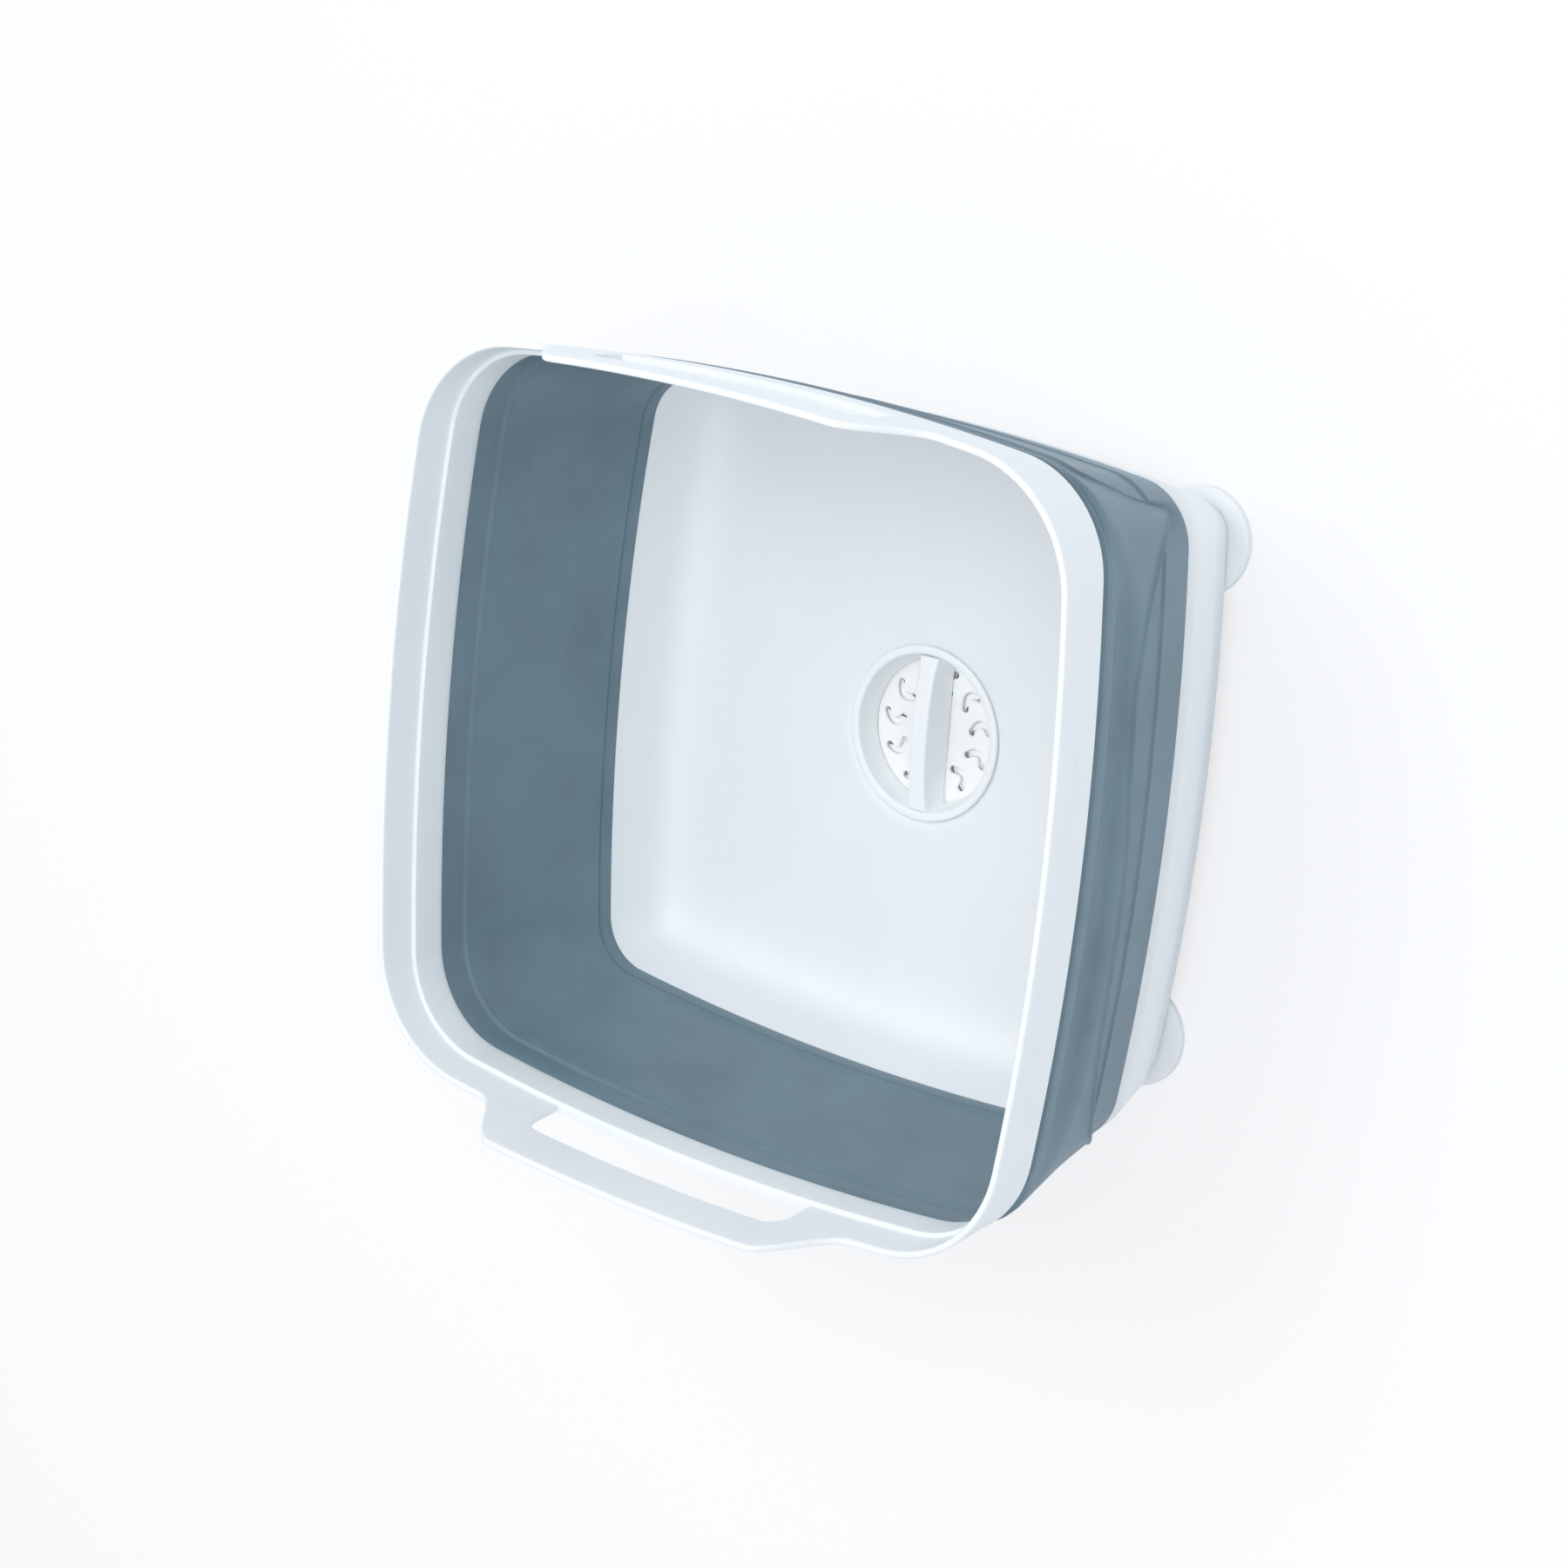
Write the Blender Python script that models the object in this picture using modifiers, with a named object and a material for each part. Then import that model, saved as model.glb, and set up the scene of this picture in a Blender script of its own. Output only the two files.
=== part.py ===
"""Collapsible camp washbasin: a stiff rim with two raised handles, a folding elastomer wall and a tray with a drain.

Metres, +Z up, the mouth upwards. The origin is on the surface under the feet, at the middle of the basin.
The handles are on the front (-Y) and the rear (+Y).
"""

import math

import bmesh
import bpy
from mathutils import Matrix, Vector

# Driving sizes of the whole basin
LIP_HALF_WIDTH = 0.155
LIP_HEIGHT = 0.162
SIDE_RADIUS = 1.000
DEPTH_LOSS = 0.003
CLEARANCE = 0.0003
OVERRUN = 0.004

# Rim frame
LIP_CORNER = 0.050
LIP_THICKNESS = 0.0027
LIP_ROUND = 0.0012
RIM_BAND_THICKNESS = 0.0032
RIM_BAND_INSET = 0.0065
RIM_BAND_CORNER = 0.0385
RIM_BAND_HEIGHT = 0.0137
RIM_BAND_DRAFT = 0.0002
UPPER_BAND_HEIGHT = 0.0148
LEDGE_WIDTH = 0.0018
LEDGE_CORNER_GAIN = 0.0020
OUTER_STEP_WIDTH = 0.0008
OUTER_STEP_HEIGHT = 0.0016

# Handles, raised from the rim's upper band
HANDLE_RISE = 0.025
HANDLE_LEAN = 0.0025
HANDLE_END_INSET = 0.0180
HANDLE_SLOPE_LENGTH = 0.0280
SLOT_END_INSET = 0.0245
SLOT_HEIGHT = 0.0210
SLOT_CORNER = 0.0090
SLOT_STEP = 0.0002

# Elastomer wall
WALL_THICKNESS = 0.0020
WALL_GAP = 0.0004
WALL_LAP = 0.0020
COLLAR_HEIGHT = 0.0165
COLLAR_TOP_DRAFT = 0.0016
BAND_NAMES = ("upper", "middle", "lower")
LOWER_COLLAR_TOP = 0.070
LOWER_COLLAR_FLARE = 0.0036
LOWER_COLLAR_CORNER_LOSS = 0.0083

# Tray
TRAY_EDGE_HEIGHT = 0.050
TRAY_WALL = 0.0024
TRAY_TAPER = 0.0090
TRAY_FOOT_LINE = 0.0196
TRAY_CORNER_LOSS = 0.0073
FLOOR_TOP = 0.018
FLOOR_THICKNESS = 0.0025
FILLET_WIDTH = 0.0135
FILLET_HEIGHT = 0.0155
FILLET_CORNER_SHARE = 0.5
SKIRT_STEP = 0.0016
SKIRT_TAPER = 0.0040
SKIRT_THICKNESS = 0.0022

# Feet
FOOT_RADIUS = 0.021
FOOT_HEIGHT = 0.0040
FOOT_EDGE = 0.0012
FOOT_INSET_X = 0.0037
FOOT_INSET_Y = 0.0064
SPIGOT_RADIUS = 0.0050
SPIGOT_HEIGHT = 0.0080
SPIGOT_CHAMFER = 0.0008
BOSS_RADIUS = 0.0068

# Drain
DRAIN_RING_RADIUS = 0.0352
DRAIN_RING_WIDTH = 0.0048
DRAIN_RING_HEIGHT = 0.0012
DRAIN_RING_OVERHANG = 0.0036
DISH_WALL_FOOT = 0.0036
DISH_DEPTH = 0.0092
DISH_EDGE = 0.0006
BODY_WALL = 0.0017
BODY_FLOOR = 0.0018
FLANGE_WIDTH = 0.0054
FLANGE_THICKNESS = 0.0020
GASKET_THICKNESS = 0.0014
GASKET_INSET = 0.0006
SHUTTER_THICKNESS = 0.0015
SHUTTER_GAP = 0.0004
SLOT_COUNT = 11
SLOT_START = math.radians(8)
SLOT_WIDTH = 0.0028
SLOT_EDGE_INSET = 0.0033
DRAIN_SLOT_LENGTH = 0.0080
SLOT_BULGE = math.radians(9)
SHUTTER_TURN = math.radians(2.5)
BAR_TOP_WIDTH = 0.0074
BAR_FOOT_WIDTH = 0.0120
BAR_ARCH = 0.0030
BAR_SHOULDER = 0.0012
PIN_RADIUS = 0.0020
PIN_HEAD_RADIUS = 0.0050
PIN_HEAD_HEIGHT = 0.0016
PIN_LENGTH_IN_GRIP = 0.0052
SEAL_RADIUS = 0.0005
SEAL_SQUEEZE = 0.0001
SEAL_DROP = 0.0068

# Fineness of the meshes
SIDE_STEPS = 6
CORNER_STEPS = 7
HANDLE_STEPS = 7
TURN_STEPS = 48
SMALL_TURN_STEPS = 24
SEAL_STEPS = 10
ARC_STEPS = 4
SLOT_STEPS = 7
BAR_STEPS = 8
FILLET_STEPS = 5
MERGE = 0.00001
SMOOTH_ANGLE = math.radians(40)
QUARTER_TURN = math.radians(90)

# Colours
RIM_COLOUR = (0.70, 0.76, 0.83)
TRAY_COLOUR = (0.74, 0.80, 0.88)
DRAIN_COLOUR = (0.84, 0.86, 0.84)
WALL_COLOUR = (0.135, 0.195, 0.225)
SEAL_COLOUR = (0.10, 0.11, 0.12)

# Rim and handle sizes that follow from the sizes above
RIM_BAND_HALF_WIDTH = LIP_HALF_WIDTH - RIM_BAND_INSET
LEDGE_CORNER = RIM_BAND_CORNER + LEDGE_CORNER_GAIN
HANDLE_FOOT_HALF = LIP_HALF_WIDTH - LIP_CORNER - HANDLE_END_INSET
HANDLE_TOP_HALF = HANDLE_FOOT_HALF - HANDLE_SLOPE_LENGTH
SLOT_HALF_LENGTH = HANDLE_FOOT_HALF - SLOT_END_INSET

# Heights that follow from the sizes above
LEDGE_HEIGHT = LIP_HEIGHT - UPPER_BAND_HEIGHT
RIM_BOTTOM = LEDGE_HEIGHT - RIM_BAND_HEIGHT
COLLAR_TOP = RIM_BOTTOM - CLEARANCE
COLLAR_BOTTOM = COLLAR_TOP - COLLAR_HEIGHT
LOWER_COLLAR_BOTTOM = TRAY_EDGE_HEIGHT + CLEARANCE
FLOOR_UNDERSIDE = FLOOR_TOP - FLOOR_THICKNESS
SKIRT_BOTTOM = FOOT_HEIGHT + CLEARANCE
RING_UNDERSIDE = FLOOR_TOP + CLEARANCE
RING_TOP = FLOOR_TOP + DRAIN_RING_HEIGHT
DISH_FLOOR = RING_TOP - DISH_DEPTH
SHUTTER_TOP = DISH_FLOOR - CLEARANCE
SHUTTER_BOTTOM = SHUTTER_TOP - SHUTTER_THICKNESS
BODY_FLOOR_TOP = SHUTTER_BOTTOM - SHUTTER_GAP
BODY_BOTTOM = BODY_FLOOR_TOP - BODY_FLOOR
GASKET_TOP = FLOOR_UNDERSIDE - CLEARANCE
FLANGE_TOP = GASKET_TOP - GASKET_THICKNESS - CLEARANCE

# Radii of the drain, from its ring inwards and outwards
DISH_OUTER_RADIUS = DRAIN_RING_RADIUS - DRAIN_RING_OVERHANG
DISH_FLOOR_RADIUS = DISH_OUTER_RADIUS - DISH_WALL_FOOT
SLOT_OUTER_RADIUS = DISH_FLOOR_RADIUS - SLOT_EDGE_INSET
SLOT_INNER_RADIUS = SLOT_OUTER_RADIUS - DRAIN_SLOT_LENGTH
GROOVE_RADIUS = DISH_OUTER_RADIUS - 2 * SEAL_RADIUS + SEAL_SQUEEZE
BODY_INNER = DISH_OUTER_RADIUS + CLEARANCE
BODY_OUTER = BODY_INNER + BODY_WALL
HOLE_RADIUS = BODY_OUTER + CLEARANCE
FLANGE_RADIUS = BODY_OUTER + FLANGE_WIDTH

# The wall bands stand one inside the next, a wall and a gap apart
BAND_COUNT = len(BAND_NAMES)
BAND_PITCH = WALL_THICKNESS + WALL_GAP
LOWER_COLLAR_HALF_WIDTH = RIM_BAND_HALF_WIDTH - COLLAR_TOP_DRAFT - WALL_GAP - BAND_COUNT * BAND_PITCH
TRAY_HALF_WIDTH = LOWER_COLLAR_HALF_WIDTH - LOWER_COLLAR_FLARE
COLLAR_CORNER = RIM_BAND_CORNER - COLLAR_TOP_DRAFT
LOWER_COLLAR_CORNER = COLLAR_CORNER - BAND_COUNT * BAND_PITCH - WALL_GAP
TRAY_CORNER = LOWER_COLLAR_CORNER - LOWER_COLLAR_CORNER_LOSS
FOOT_LINE_HALF_WIDTH = TRAY_HALF_WIDTH - TRAY_TAPER
FOOT_LINE_CORNER = TRAY_CORNER - TRAY_CORNER_LOSS

COLLECTION = "camp_washbasin"
CUTTERS = "camp_washbasin_cutters"


def clear_scene():
    for old in list(bpy.data.objects):
        bpy.data.objects.remove(old, do_unlink=True)


def new_collection(name):
    made = bpy.data.collections.new(name)
    bpy.context.scene.collection.children.link(made)
    return made


def plastic(name, colour, roughness):
    made = bpy.data.materials.new(name)
    made.use_nodes = True
    shader = made.node_tree.nodes["Principled BSDF"]
    shader.inputs["Base Color"].default_value = (*colour, 1.0)
    shader.inputs["Roughness"].default_value = roughness
    shader.inputs["Metallic"].default_value = 0.0
    made.diffuse_color = (*colour, 1.0)
    return made


def add_object(name, mesh, collection, material=None):
    made = bpy.data.objects.new(name, mesh)
    collection.objects.link(made)
    if material:
        mesh.materials.append(material)
        mesh.shade_smooth()
        mesh.set_sharp_from_angle(angle=SMOOTH_ANGLE)
    return made


def hide_cutter(cutter):
    cutter.hide_render = True
    cutter.display_type = "WIRE"
    return cutter


def boolean(target, other, operation):
    modifier = target.modifiers.new(operation.lower(), "BOOLEAN")
    modifier.operation = operation
    modifier.solver = "EXACT"
    modifier.object = other
    return modifier


def side_positions(half_length, handle):
    """Distances from the middle of a side at which its outline has points, from one end to the other."""
    if not handle:
        return [half_length * (2 * step / SIDE_STEPS - 1) for step in range(SIDE_STEPS + 1)]
    rise = HANDLE_FOOT_HALF - HANDLE_TOP_HALF
    half = [0.0, HANDLE_TOP_HALF / 2]
    half += [HANDLE_TOP_HALF + rise * step / HANDLE_STEPS for step in range(HANDLE_STEPS + 1)]
    half.append(half_length)
    return [-place for place in reversed(half[1:])] + half


def arc_centres(half_width, corner):
    """The radius of the sides' arcs and the centres of the right side's, the rear side's and the corner's arcs."""
    half_depth = half_width - DEPTH_LOSS
    side = SIDE_RADIUS - (LIP_HALF_WIDTH - half_width)
    right = Vector((half_width - side, 0.0))
    rear = Vector((0.0, half_depth - side))
    between = rear - right
    outward = Vector((between.y, -between.x)).normalized()
    if outward.x < 0:
        outward = -outward
    reach = math.sqrt((side - corner) ** 2 - (between.length / 2) ** 2)
    return side, right, rear, (right + rear) / 2 + outward * reach


def outline(half_width, corner, handles=False):
    """A square with bowed sides and round corners, as a ring of points in order.

    The sides' arcs keep their centres while half_width and the corner shrink alike, so two outlines
    that differ by the same length in both are parallel.
    """
    side, right, rear, centre = arc_centres(half_width, corner)
    start = math.atan2(centre.y - right.y, centre.x - right.x)
    end = math.atan2(centre.y - rear.y, centre.x - rear.x)
    side_half_y = side * math.sin(start)
    side_half_x = side * math.cos(end)

    def right_side(sign):
        for place in side_positions(side_half_y, False):
            angle = math.asin(place / side)
            yield sign * (right.x + side * math.cos(angle)), sign * place

    def rear_side(sign):
        for place in side_positions(side_half_x, handles):
            angle = math.asin(place / side)
            yield -sign * place, sign * (rear.y + side * math.cos(angle))

    def corner_arc(mirror_x, mirror_y):
        steps = range(1, CORNER_STEPS)
        if mirror_x != mirror_y:
            steps = reversed(steps)
        for step in steps:
            angle = start + (end - start) * step / CORNER_STEPS
            x = centre.x + corner * math.cos(angle)
            y = centre.y + corner * math.sin(angle)
            yield (-x if mirror_x else x), (-y if mirror_y else y)

    points = []
    points += right_side(1)
    points += corner_arc(False, False)
    points += rear_side(1)
    points += corner_arc(True, False)
    points += right_side(-1)
    points += corner_arc(True, True)
    points += rear_side(-1)
    points += corner_arc(False, True)
    return points


def loft(name, rows, collection, material, closed=True, lift=None, handles=False):
    """A solid through rounded squares. rows are (half width, corner radius, height).

    A closed loft joins its last row to its first and is a ring. An open one is capped at both ends.
    """
    work = bmesh.new()
    rings = []
    for half_width, corner, height in rows:
        ring = []
        for x, y in outline(half_width, corner, handles):
            place = Vector((x, y, height))
            if lift:
                place = lift(place)
            ring.append(work.verts.new(place))
        rings.append(ring)
    pairs = list(zip(rings, rings[1:]))
    if closed:
        pairs.append((rings[-1], rings[0]))
    for low, high in pairs:
        for index in range(len(low)):
            after = (index + 1) % len(low)
            work.faces.new((low[index], low[after], high[after], high[index]))
    if not closed:
        work.faces.new(rings[0])
        work.faces.new(rings[-1])
    bmesh.ops.recalc_face_normals(work, faces=work.faces[:])
    mesh = bpy.data.meshes.new(name)
    work.to_mesh(mesh)
    work.free()
    return add_object(name, mesh, collection, material)


def turned(name, profile, collection, material=None, steps=TURN_STEPS, at=(0.0, 0.0), closed=True):
    """A solid of revolution. The profile runs from top to bottom down its outer side."""
    mesh = bpy.data.meshes.new(name)
    last = len(profile) - 1
    edges = [(index, index + 1) for index in range(last)]
    if closed:
        edges.append((last, 0))
    mesh.from_pydata([(radius, 0.0, height) for radius, height in profile], edges, [])
    made = add_object(name, mesh, collection)
    made.location = (at[0], at[1], 0.0)
    screw = made.modifiers.new("turn", "SCREW")
    screw.axis = "Z"
    screw.angle = math.tau
    screw.steps = steps
    screw.render_steps = steps
    screw.use_merge_vertices = True
    screw.merge_threshold = MERGE
    screw.use_smooth_shade = True
    if material:
        mesh.materials.append(material)
    return made


def prism(name, outlines, low, high, collection):
    """Flat outlines of (x, y) points, extruded from one height to another, as a closed mesh."""
    curve = bpy.data.curves.new(name + "_outline", "CURVE")
    curve.dimensions = "2D"
    curve.fill_mode = "BOTH"
    curve.extrude = (high - low) / 2
    for points in outlines:
        spline = curve.splines.new("POLY")
        spline.points.add(len(points) - 1)
        spline.use_cyclic_u = True
        for index, (x, y) in enumerate(points):
            spline.points[index].co = (x, y, 0.0, 1.0)
    guide = bpy.data.objects.new(name + "_guide", curve)
    collection.objects.link(guide)
    bpy.context.view_layer.update()
    evaluated = guide.evaluated_get(bpy.context.evaluated_depsgraph_get())
    mesh = bpy.data.meshes.new_from_object(evaluated)
    mesh.name = name
    bpy.data.objects.remove(guide, do_unlink=True)
    work = bmesh.new()
    work.from_mesh(mesh)
    bmesh.ops.remove_doubles(work, verts=work.verts[:], dist=MERGE)
    bmesh.ops.translate(work, verts=work.verts[:], vec=(0.0, 0.0, (low + high) / 2))
    bmesh.ops.recalc_face_normals(work, faces=work.faces[:])
    work.to_mesh(mesh)
    work.free()
    made = bpy.data.objects.new(name, mesh)
    collection.objects.link(made)
    return made


def smooth_share(value, low, high):
    """0 up to low, 1 from high on, and an even curve between."""
    share = min(max((value - low) / (high - low), 0.0), 1.0)
    return share * share * (3 - 2 * share)


def handle_lift(place):
    """Raises the upper band into the two handles and leans them out a little."""
    above = max((place.z - LEDGE_HEIGHT) / UPPER_BAND_HEIGHT, 0.0)
    along = 1 - smooth_share(abs(place.x), HANDLE_TOP_HALF, HANDLE_FOOT_HALF)
    lean = math.copysign(HANDLE_LEAN * above * along, place.y)
    return place + Vector((0.0, lean, HANDLE_RISE * above * along))


def rounded_slot_profile():
    """The finger slot seen from the front: square at the ledge, rounded above, as (x, height) points."""
    top = LEDGE_HEIGHT + SLOT_HEIGHT
    points = [(-SLOT_HALF_LENGTH, LEDGE_HEIGHT + SLOT_STEP), (SLOT_HALF_LENGTH, LEDGE_HEIGHT + SLOT_STEP)]
    for sign in (1, -1):
        steps = range(ARC_STEPS + 1)
        if sign < 0:
            steps = reversed(steps)
        for step in steps:
            angle = QUARTER_TURN * step / ARC_STEPS
            x = SLOT_HALF_LENGTH - SLOT_CORNER * (1 - math.cos(angle))
            points.append((sign * x, top - SLOT_CORNER * (1 - math.sin(angle))))
    return points


def make_rim(collection, cutters, material):
    outer_foot = RIM_BAND_HALF_WIDTH + RIM_BAND_THICKNESS
    ledge_outer = RIM_BAND_HALF_WIDTH + LEDGE_WIDTH
    lip_inner = LIP_HALF_WIDTH - LIP_THICKNESS
    step_outer = outer_foot + OUTER_STEP_WIDTH + RIM_BAND_DRAFT
    rows = [
        (RIM_BAND_HALF_WIDTH - RIM_BAND_DRAFT, RIM_BAND_CORNER, RIM_BOTTOM),
        (RIM_BAND_HALF_WIDTH, RIM_BAND_CORNER, LEDGE_HEIGHT),
        (ledge_outer, LEDGE_CORNER, LEDGE_HEIGHT),
        (lip_inner, LIP_CORNER - LIP_THICKNESS, LIP_HEIGHT - LIP_ROUND),
        (lip_inner + LIP_ROUND / 2, LIP_CORNER - LIP_THICKNESS + LIP_ROUND / 2, LIP_HEIGHT),
        (LIP_HALF_WIDTH - LIP_ROUND / 2, LIP_CORNER - LIP_ROUND / 2, LIP_HEIGHT),
        (LIP_HALF_WIDTH, LIP_CORNER, LIP_HEIGHT - LIP_ROUND),
        (step_outer, LEDGE_CORNER + RIM_BAND_THICKNESS, LEDGE_HEIGHT),
        (outer_foot + RIM_BAND_DRAFT, RIM_BAND_CORNER + RIM_BAND_THICKNESS, LEDGE_HEIGHT - OUTER_STEP_HEIGHT),
        (outer_foot, RIM_BAND_CORNER + RIM_BAND_THICKNESS, RIM_BOTTOM),
    ]
    rim = loft("rim_frame", rows, collection, material, lift=handle_lift, handles=True)
    reach = LIP_HALF_WIDTH + HANDLE_LEAN + OVERRUN
    cutter = prism("finger_slot_cutter", [rounded_slot_profile()], -reach, reach, cutters)
    cutter.data.transform(Matrix.Rotation(QUARTER_TURN, 4, "X"))
    hide_cutter(cutter)
    boolean(rim, cutter, "DIFFERENCE")
    return rim


def make_wall(collection, material):
    """The one-piece elastomer wall, cut at its fold lines into parts that slide past each other."""
    collar_inner = RIM_BAND_HALF_WIDTH - COLLAR_TOP_DRAFT
    collar = [
        (collar_inner, COLLAR_CORNER, COLLAR_BOTTOM),
        (RIM_BAND_HALF_WIDTH - RIM_BAND_DRAFT, RIM_BAND_CORNER, COLLAR_TOP),
        (RIM_BAND_HALF_WIDTH + WALL_THICKNESS, RIM_BAND_CORNER + WALL_THICKNESS, COLLAR_TOP),
        (collar_inner + WALL_THICKNESS, COLLAR_CORNER + WALL_THICKNESS, COLLAR_BOTTOM),
    ]
    loft("wall_upper_collar", collar, collection, material)

    span = (COLLAR_BOTTOM - LOWER_COLLAR_TOP) / BAND_COUNT
    for index, place in enumerate(BAND_NAMES):
        inset = (index + 1) * BAND_PITCH
        inner = collar_inner - inset
        corner = COLLAR_CORNER - inset
        top = COLLAR_BOTTOM - index * span + WALL_LAP / 2
        bottom = COLLAR_BOTTOM - (index + 1) * span - WALL_LAP / 2
        band = [
            (inner, corner, bottom),
            (inner, corner, top),
            (inner + WALL_THICKNESS, corner + WALL_THICKNESS, top),
            (inner + WALL_THICKNESS, corner + WALL_THICKNESS, bottom),
        ]
        loft("wall_band_" + place, band, collection, material)

    lower = [
        (TRAY_HALF_WIDTH - WALL_THICKNESS, TRAY_CORNER - WALL_THICKNESS, LOWER_COLLAR_BOTTOM),
        (LOWER_COLLAR_HALF_WIDTH - WALL_THICKNESS, LOWER_COLLAR_CORNER - WALL_THICKNESS, LOWER_COLLAR_TOP),
        (LOWER_COLLAR_HALF_WIDTH, LOWER_COLLAR_CORNER, LOWER_COLLAR_TOP),
        (TRAY_HALF_WIDTH, TRAY_CORNER, LOWER_COLLAR_BOTTOM),
    ]
    loft("wall_lower_collar", lower, collection, material)


def make_tray(collection, cutters, material):
    edge_inner = TRAY_HALF_WIDTH - TRAY_WALL
    line_outer = FOOT_LINE_HALF_WIDTH
    line_inner = line_outer - TRAY_WALL
    line_corner = FOOT_LINE_CORNER
    fillet_top = FLOOR_TOP + FILLET_HEIGHT
    slope = (edge_inner - line_inner) / (TRAY_EDGE_HEIGHT - TRAY_FOOT_LINE)
    fillet_outer = edge_inner - slope * (TRAY_EDGE_HEIGHT - fillet_top)
    rows = []
    for step in range(FILLET_STEPS + 1):
        angle = QUARTER_TURN * step / FILLET_STEPS
        half_width = fillet_outer - FILLET_WIDTH * (1 - math.sin(angle))
        height = fillet_top - FILLET_HEIGHT * math.cos(angle)
        rows.append((half_width, line_corner - TRAY_WALL + FILLET_CORNER_SHARE * (half_width - fillet_outer), height))
    skirt_bottom_outer = line_outer - SKIRT_STEP - SKIRT_TAPER
    skirt_slope = SKIRT_TAPER / (TRAY_FOOT_LINE - SKIRT_STEP - SKIRT_BOTTOM)
    skirt_inner = skirt_bottom_outer - SKIRT_THICKNESS
    skirt_inner_top = skirt_inner + skirt_slope * (FLOOR_UNDERSIDE - SKIRT_BOTTOM)
    rows += [
        (edge_inner, TRAY_CORNER - TRAY_WALL, TRAY_EDGE_HEIGHT),
        (TRAY_HALF_WIDTH, TRAY_CORNER, TRAY_EDGE_HEIGHT),
        (line_outer, line_corner, TRAY_FOOT_LINE),
        (line_outer - SKIRT_STEP, line_corner - SKIRT_STEP, TRAY_FOOT_LINE - SKIRT_STEP),
        (skirt_bottom_outer, line_corner - SKIRT_STEP, SKIRT_BOTTOM),
        (skirt_inner, line_corner - SKIRT_STEP - SKIRT_THICKNESS, SKIRT_BOTTOM),
        (skirt_inner_top, line_corner - SKIRT_STEP - SKIRT_THICKNESS, FLOOR_UNDERSIDE),
    ]
    tray = loft("tray", rows, collection, material, closed=False)
    boss_height = FLOOR_UNDERSIDE + FLOOR_THICKNESS / 2
    for name, x, y in foot_places():
        post = [
            (SPIGOT_RADIUS + CLEARANCE, boss_height),
            (BOSS_RADIUS, boss_height),
            (BOSS_RADIUS, SKIRT_BOTTOM),
            (SPIGOT_RADIUS + CLEARANCE, SKIRT_BOTTOM),
        ]
        boss = turned(name + "_boss", post, cutters, steps=SMALL_TURN_STEPS, at=(x, y))
        boolean(tray, hide_cutter(boss), "UNION")
    hole = [
        (0.0, FLOOR_TOP + OVERRUN),
        (HOLE_RADIUS, FLOOR_TOP + OVERRUN),
        (HOLE_RADIUS, FLOOR_UNDERSIDE - OVERRUN),
        (0.0, FLOOR_UNDERSIDE - OVERRUN),
    ]
    cutter = turned("drain_hole_cutter", hole, cutters, closed=False)
    boolean(tray, hide_cutter(cutter), "DIFFERENCE")
    return tray


def foot_places():
    """The names and places of the feet, set in from the centres of the tray's corners."""
    corner = arc_centres(FOOT_LINE_HALF_WIDTH, FOOT_LINE_CORNER)[-1]
    for row, sign_y in (("front", -1), ("rear", 1)):
        for side, sign_x in (("left", -1), ("right", 1)):
            place_x = sign_x * (corner.x - FOOT_INSET_X)
            place_y = sign_y * (corner.y - FOOT_INSET_Y)
            yield "foot_" + row + "_" + side, place_x, place_y


def make_feet(collection, material):
    spigot_top = FOOT_HEIGHT + SPIGOT_HEIGHT
    profile = [
        (0.0, spigot_top),
        (SPIGOT_RADIUS - SPIGOT_CHAMFER, spigot_top),
        (SPIGOT_RADIUS, spigot_top - SPIGOT_CHAMFER),
        (SPIGOT_RADIUS, FOOT_HEIGHT),
        (FOOT_RADIUS - FOOT_EDGE / 2, FOOT_HEIGHT),
        (FOOT_RADIUS, FOOT_HEIGHT - FOOT_EDGE / 2),
        (FOOT_RADIUS, FOOT_EDGE),
        (FOOT_RADIUS - FOOT_EDGE, 0.0),
        (0.0, 0.0),
    ]
    for name, x, y in foot_places():
        turned(name, profile, collection, material, at=(x, y), steps=SMALL_TURN_STEPS, closed=False)


def slot_outlines(turn, bulge):
    """Slots in a ring, each as wide as SLOT_WIDTH, with round ends, and bowed sideways where there is a bulge."""
    half = SLOT_WIDTH / 2
    outlines = []
    for copy in range(SLOT_COUNT):
        base = SLOT_START + turn + math.tau * copy / SLOT_COUNT
        spine = []
        for step in range(SLOT_STEPS + 1):
            share = step / SLOT_STEPS
            radius = SLOT_INNER_RADIUS + (SLOT_OUTER_RADIUS - SLOT_INNER_RADIUS) * share
            angle = base + bulge * 4 * share * (1 - share)
            spine.append(Vector((radius * math.cos(angle), radius * math.sin(angle))))
        left, right = [], []
        for step, place in enumerate(spine):
            before = spine[max(step - 1, 0)]
            after = spine[min(step + 1, SLOT_STEPS)]
            along = (after - before).normalized()
            across = Vector((-along.y, along.x)) * half
            left.append(place + across)
            right.append(place - across)
        first = (spine[1] - spine[0]).normalized()
        last = (spine[-1] - spine[-2]).normalized()
        ring = left + round_end(spine[-1], last, half) + right[::-1] + round_end(spine[0], -first, half)
        outlines.append([(place.x, place.y) for place in ring])
    return outlines


def round_end(centre, along, half):
    """The points of a half circle round the end of a slot, without its two ends."""
    points = []
    for step in range(1, ARC_STEPS):
        angle = QUARTER_TURN - math.pi * step / ARC_STEPS
        turned_along = Matrix.Rotation(angle, 2) @ along
        points.append(centre + turned_along * half)
    return points


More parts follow.
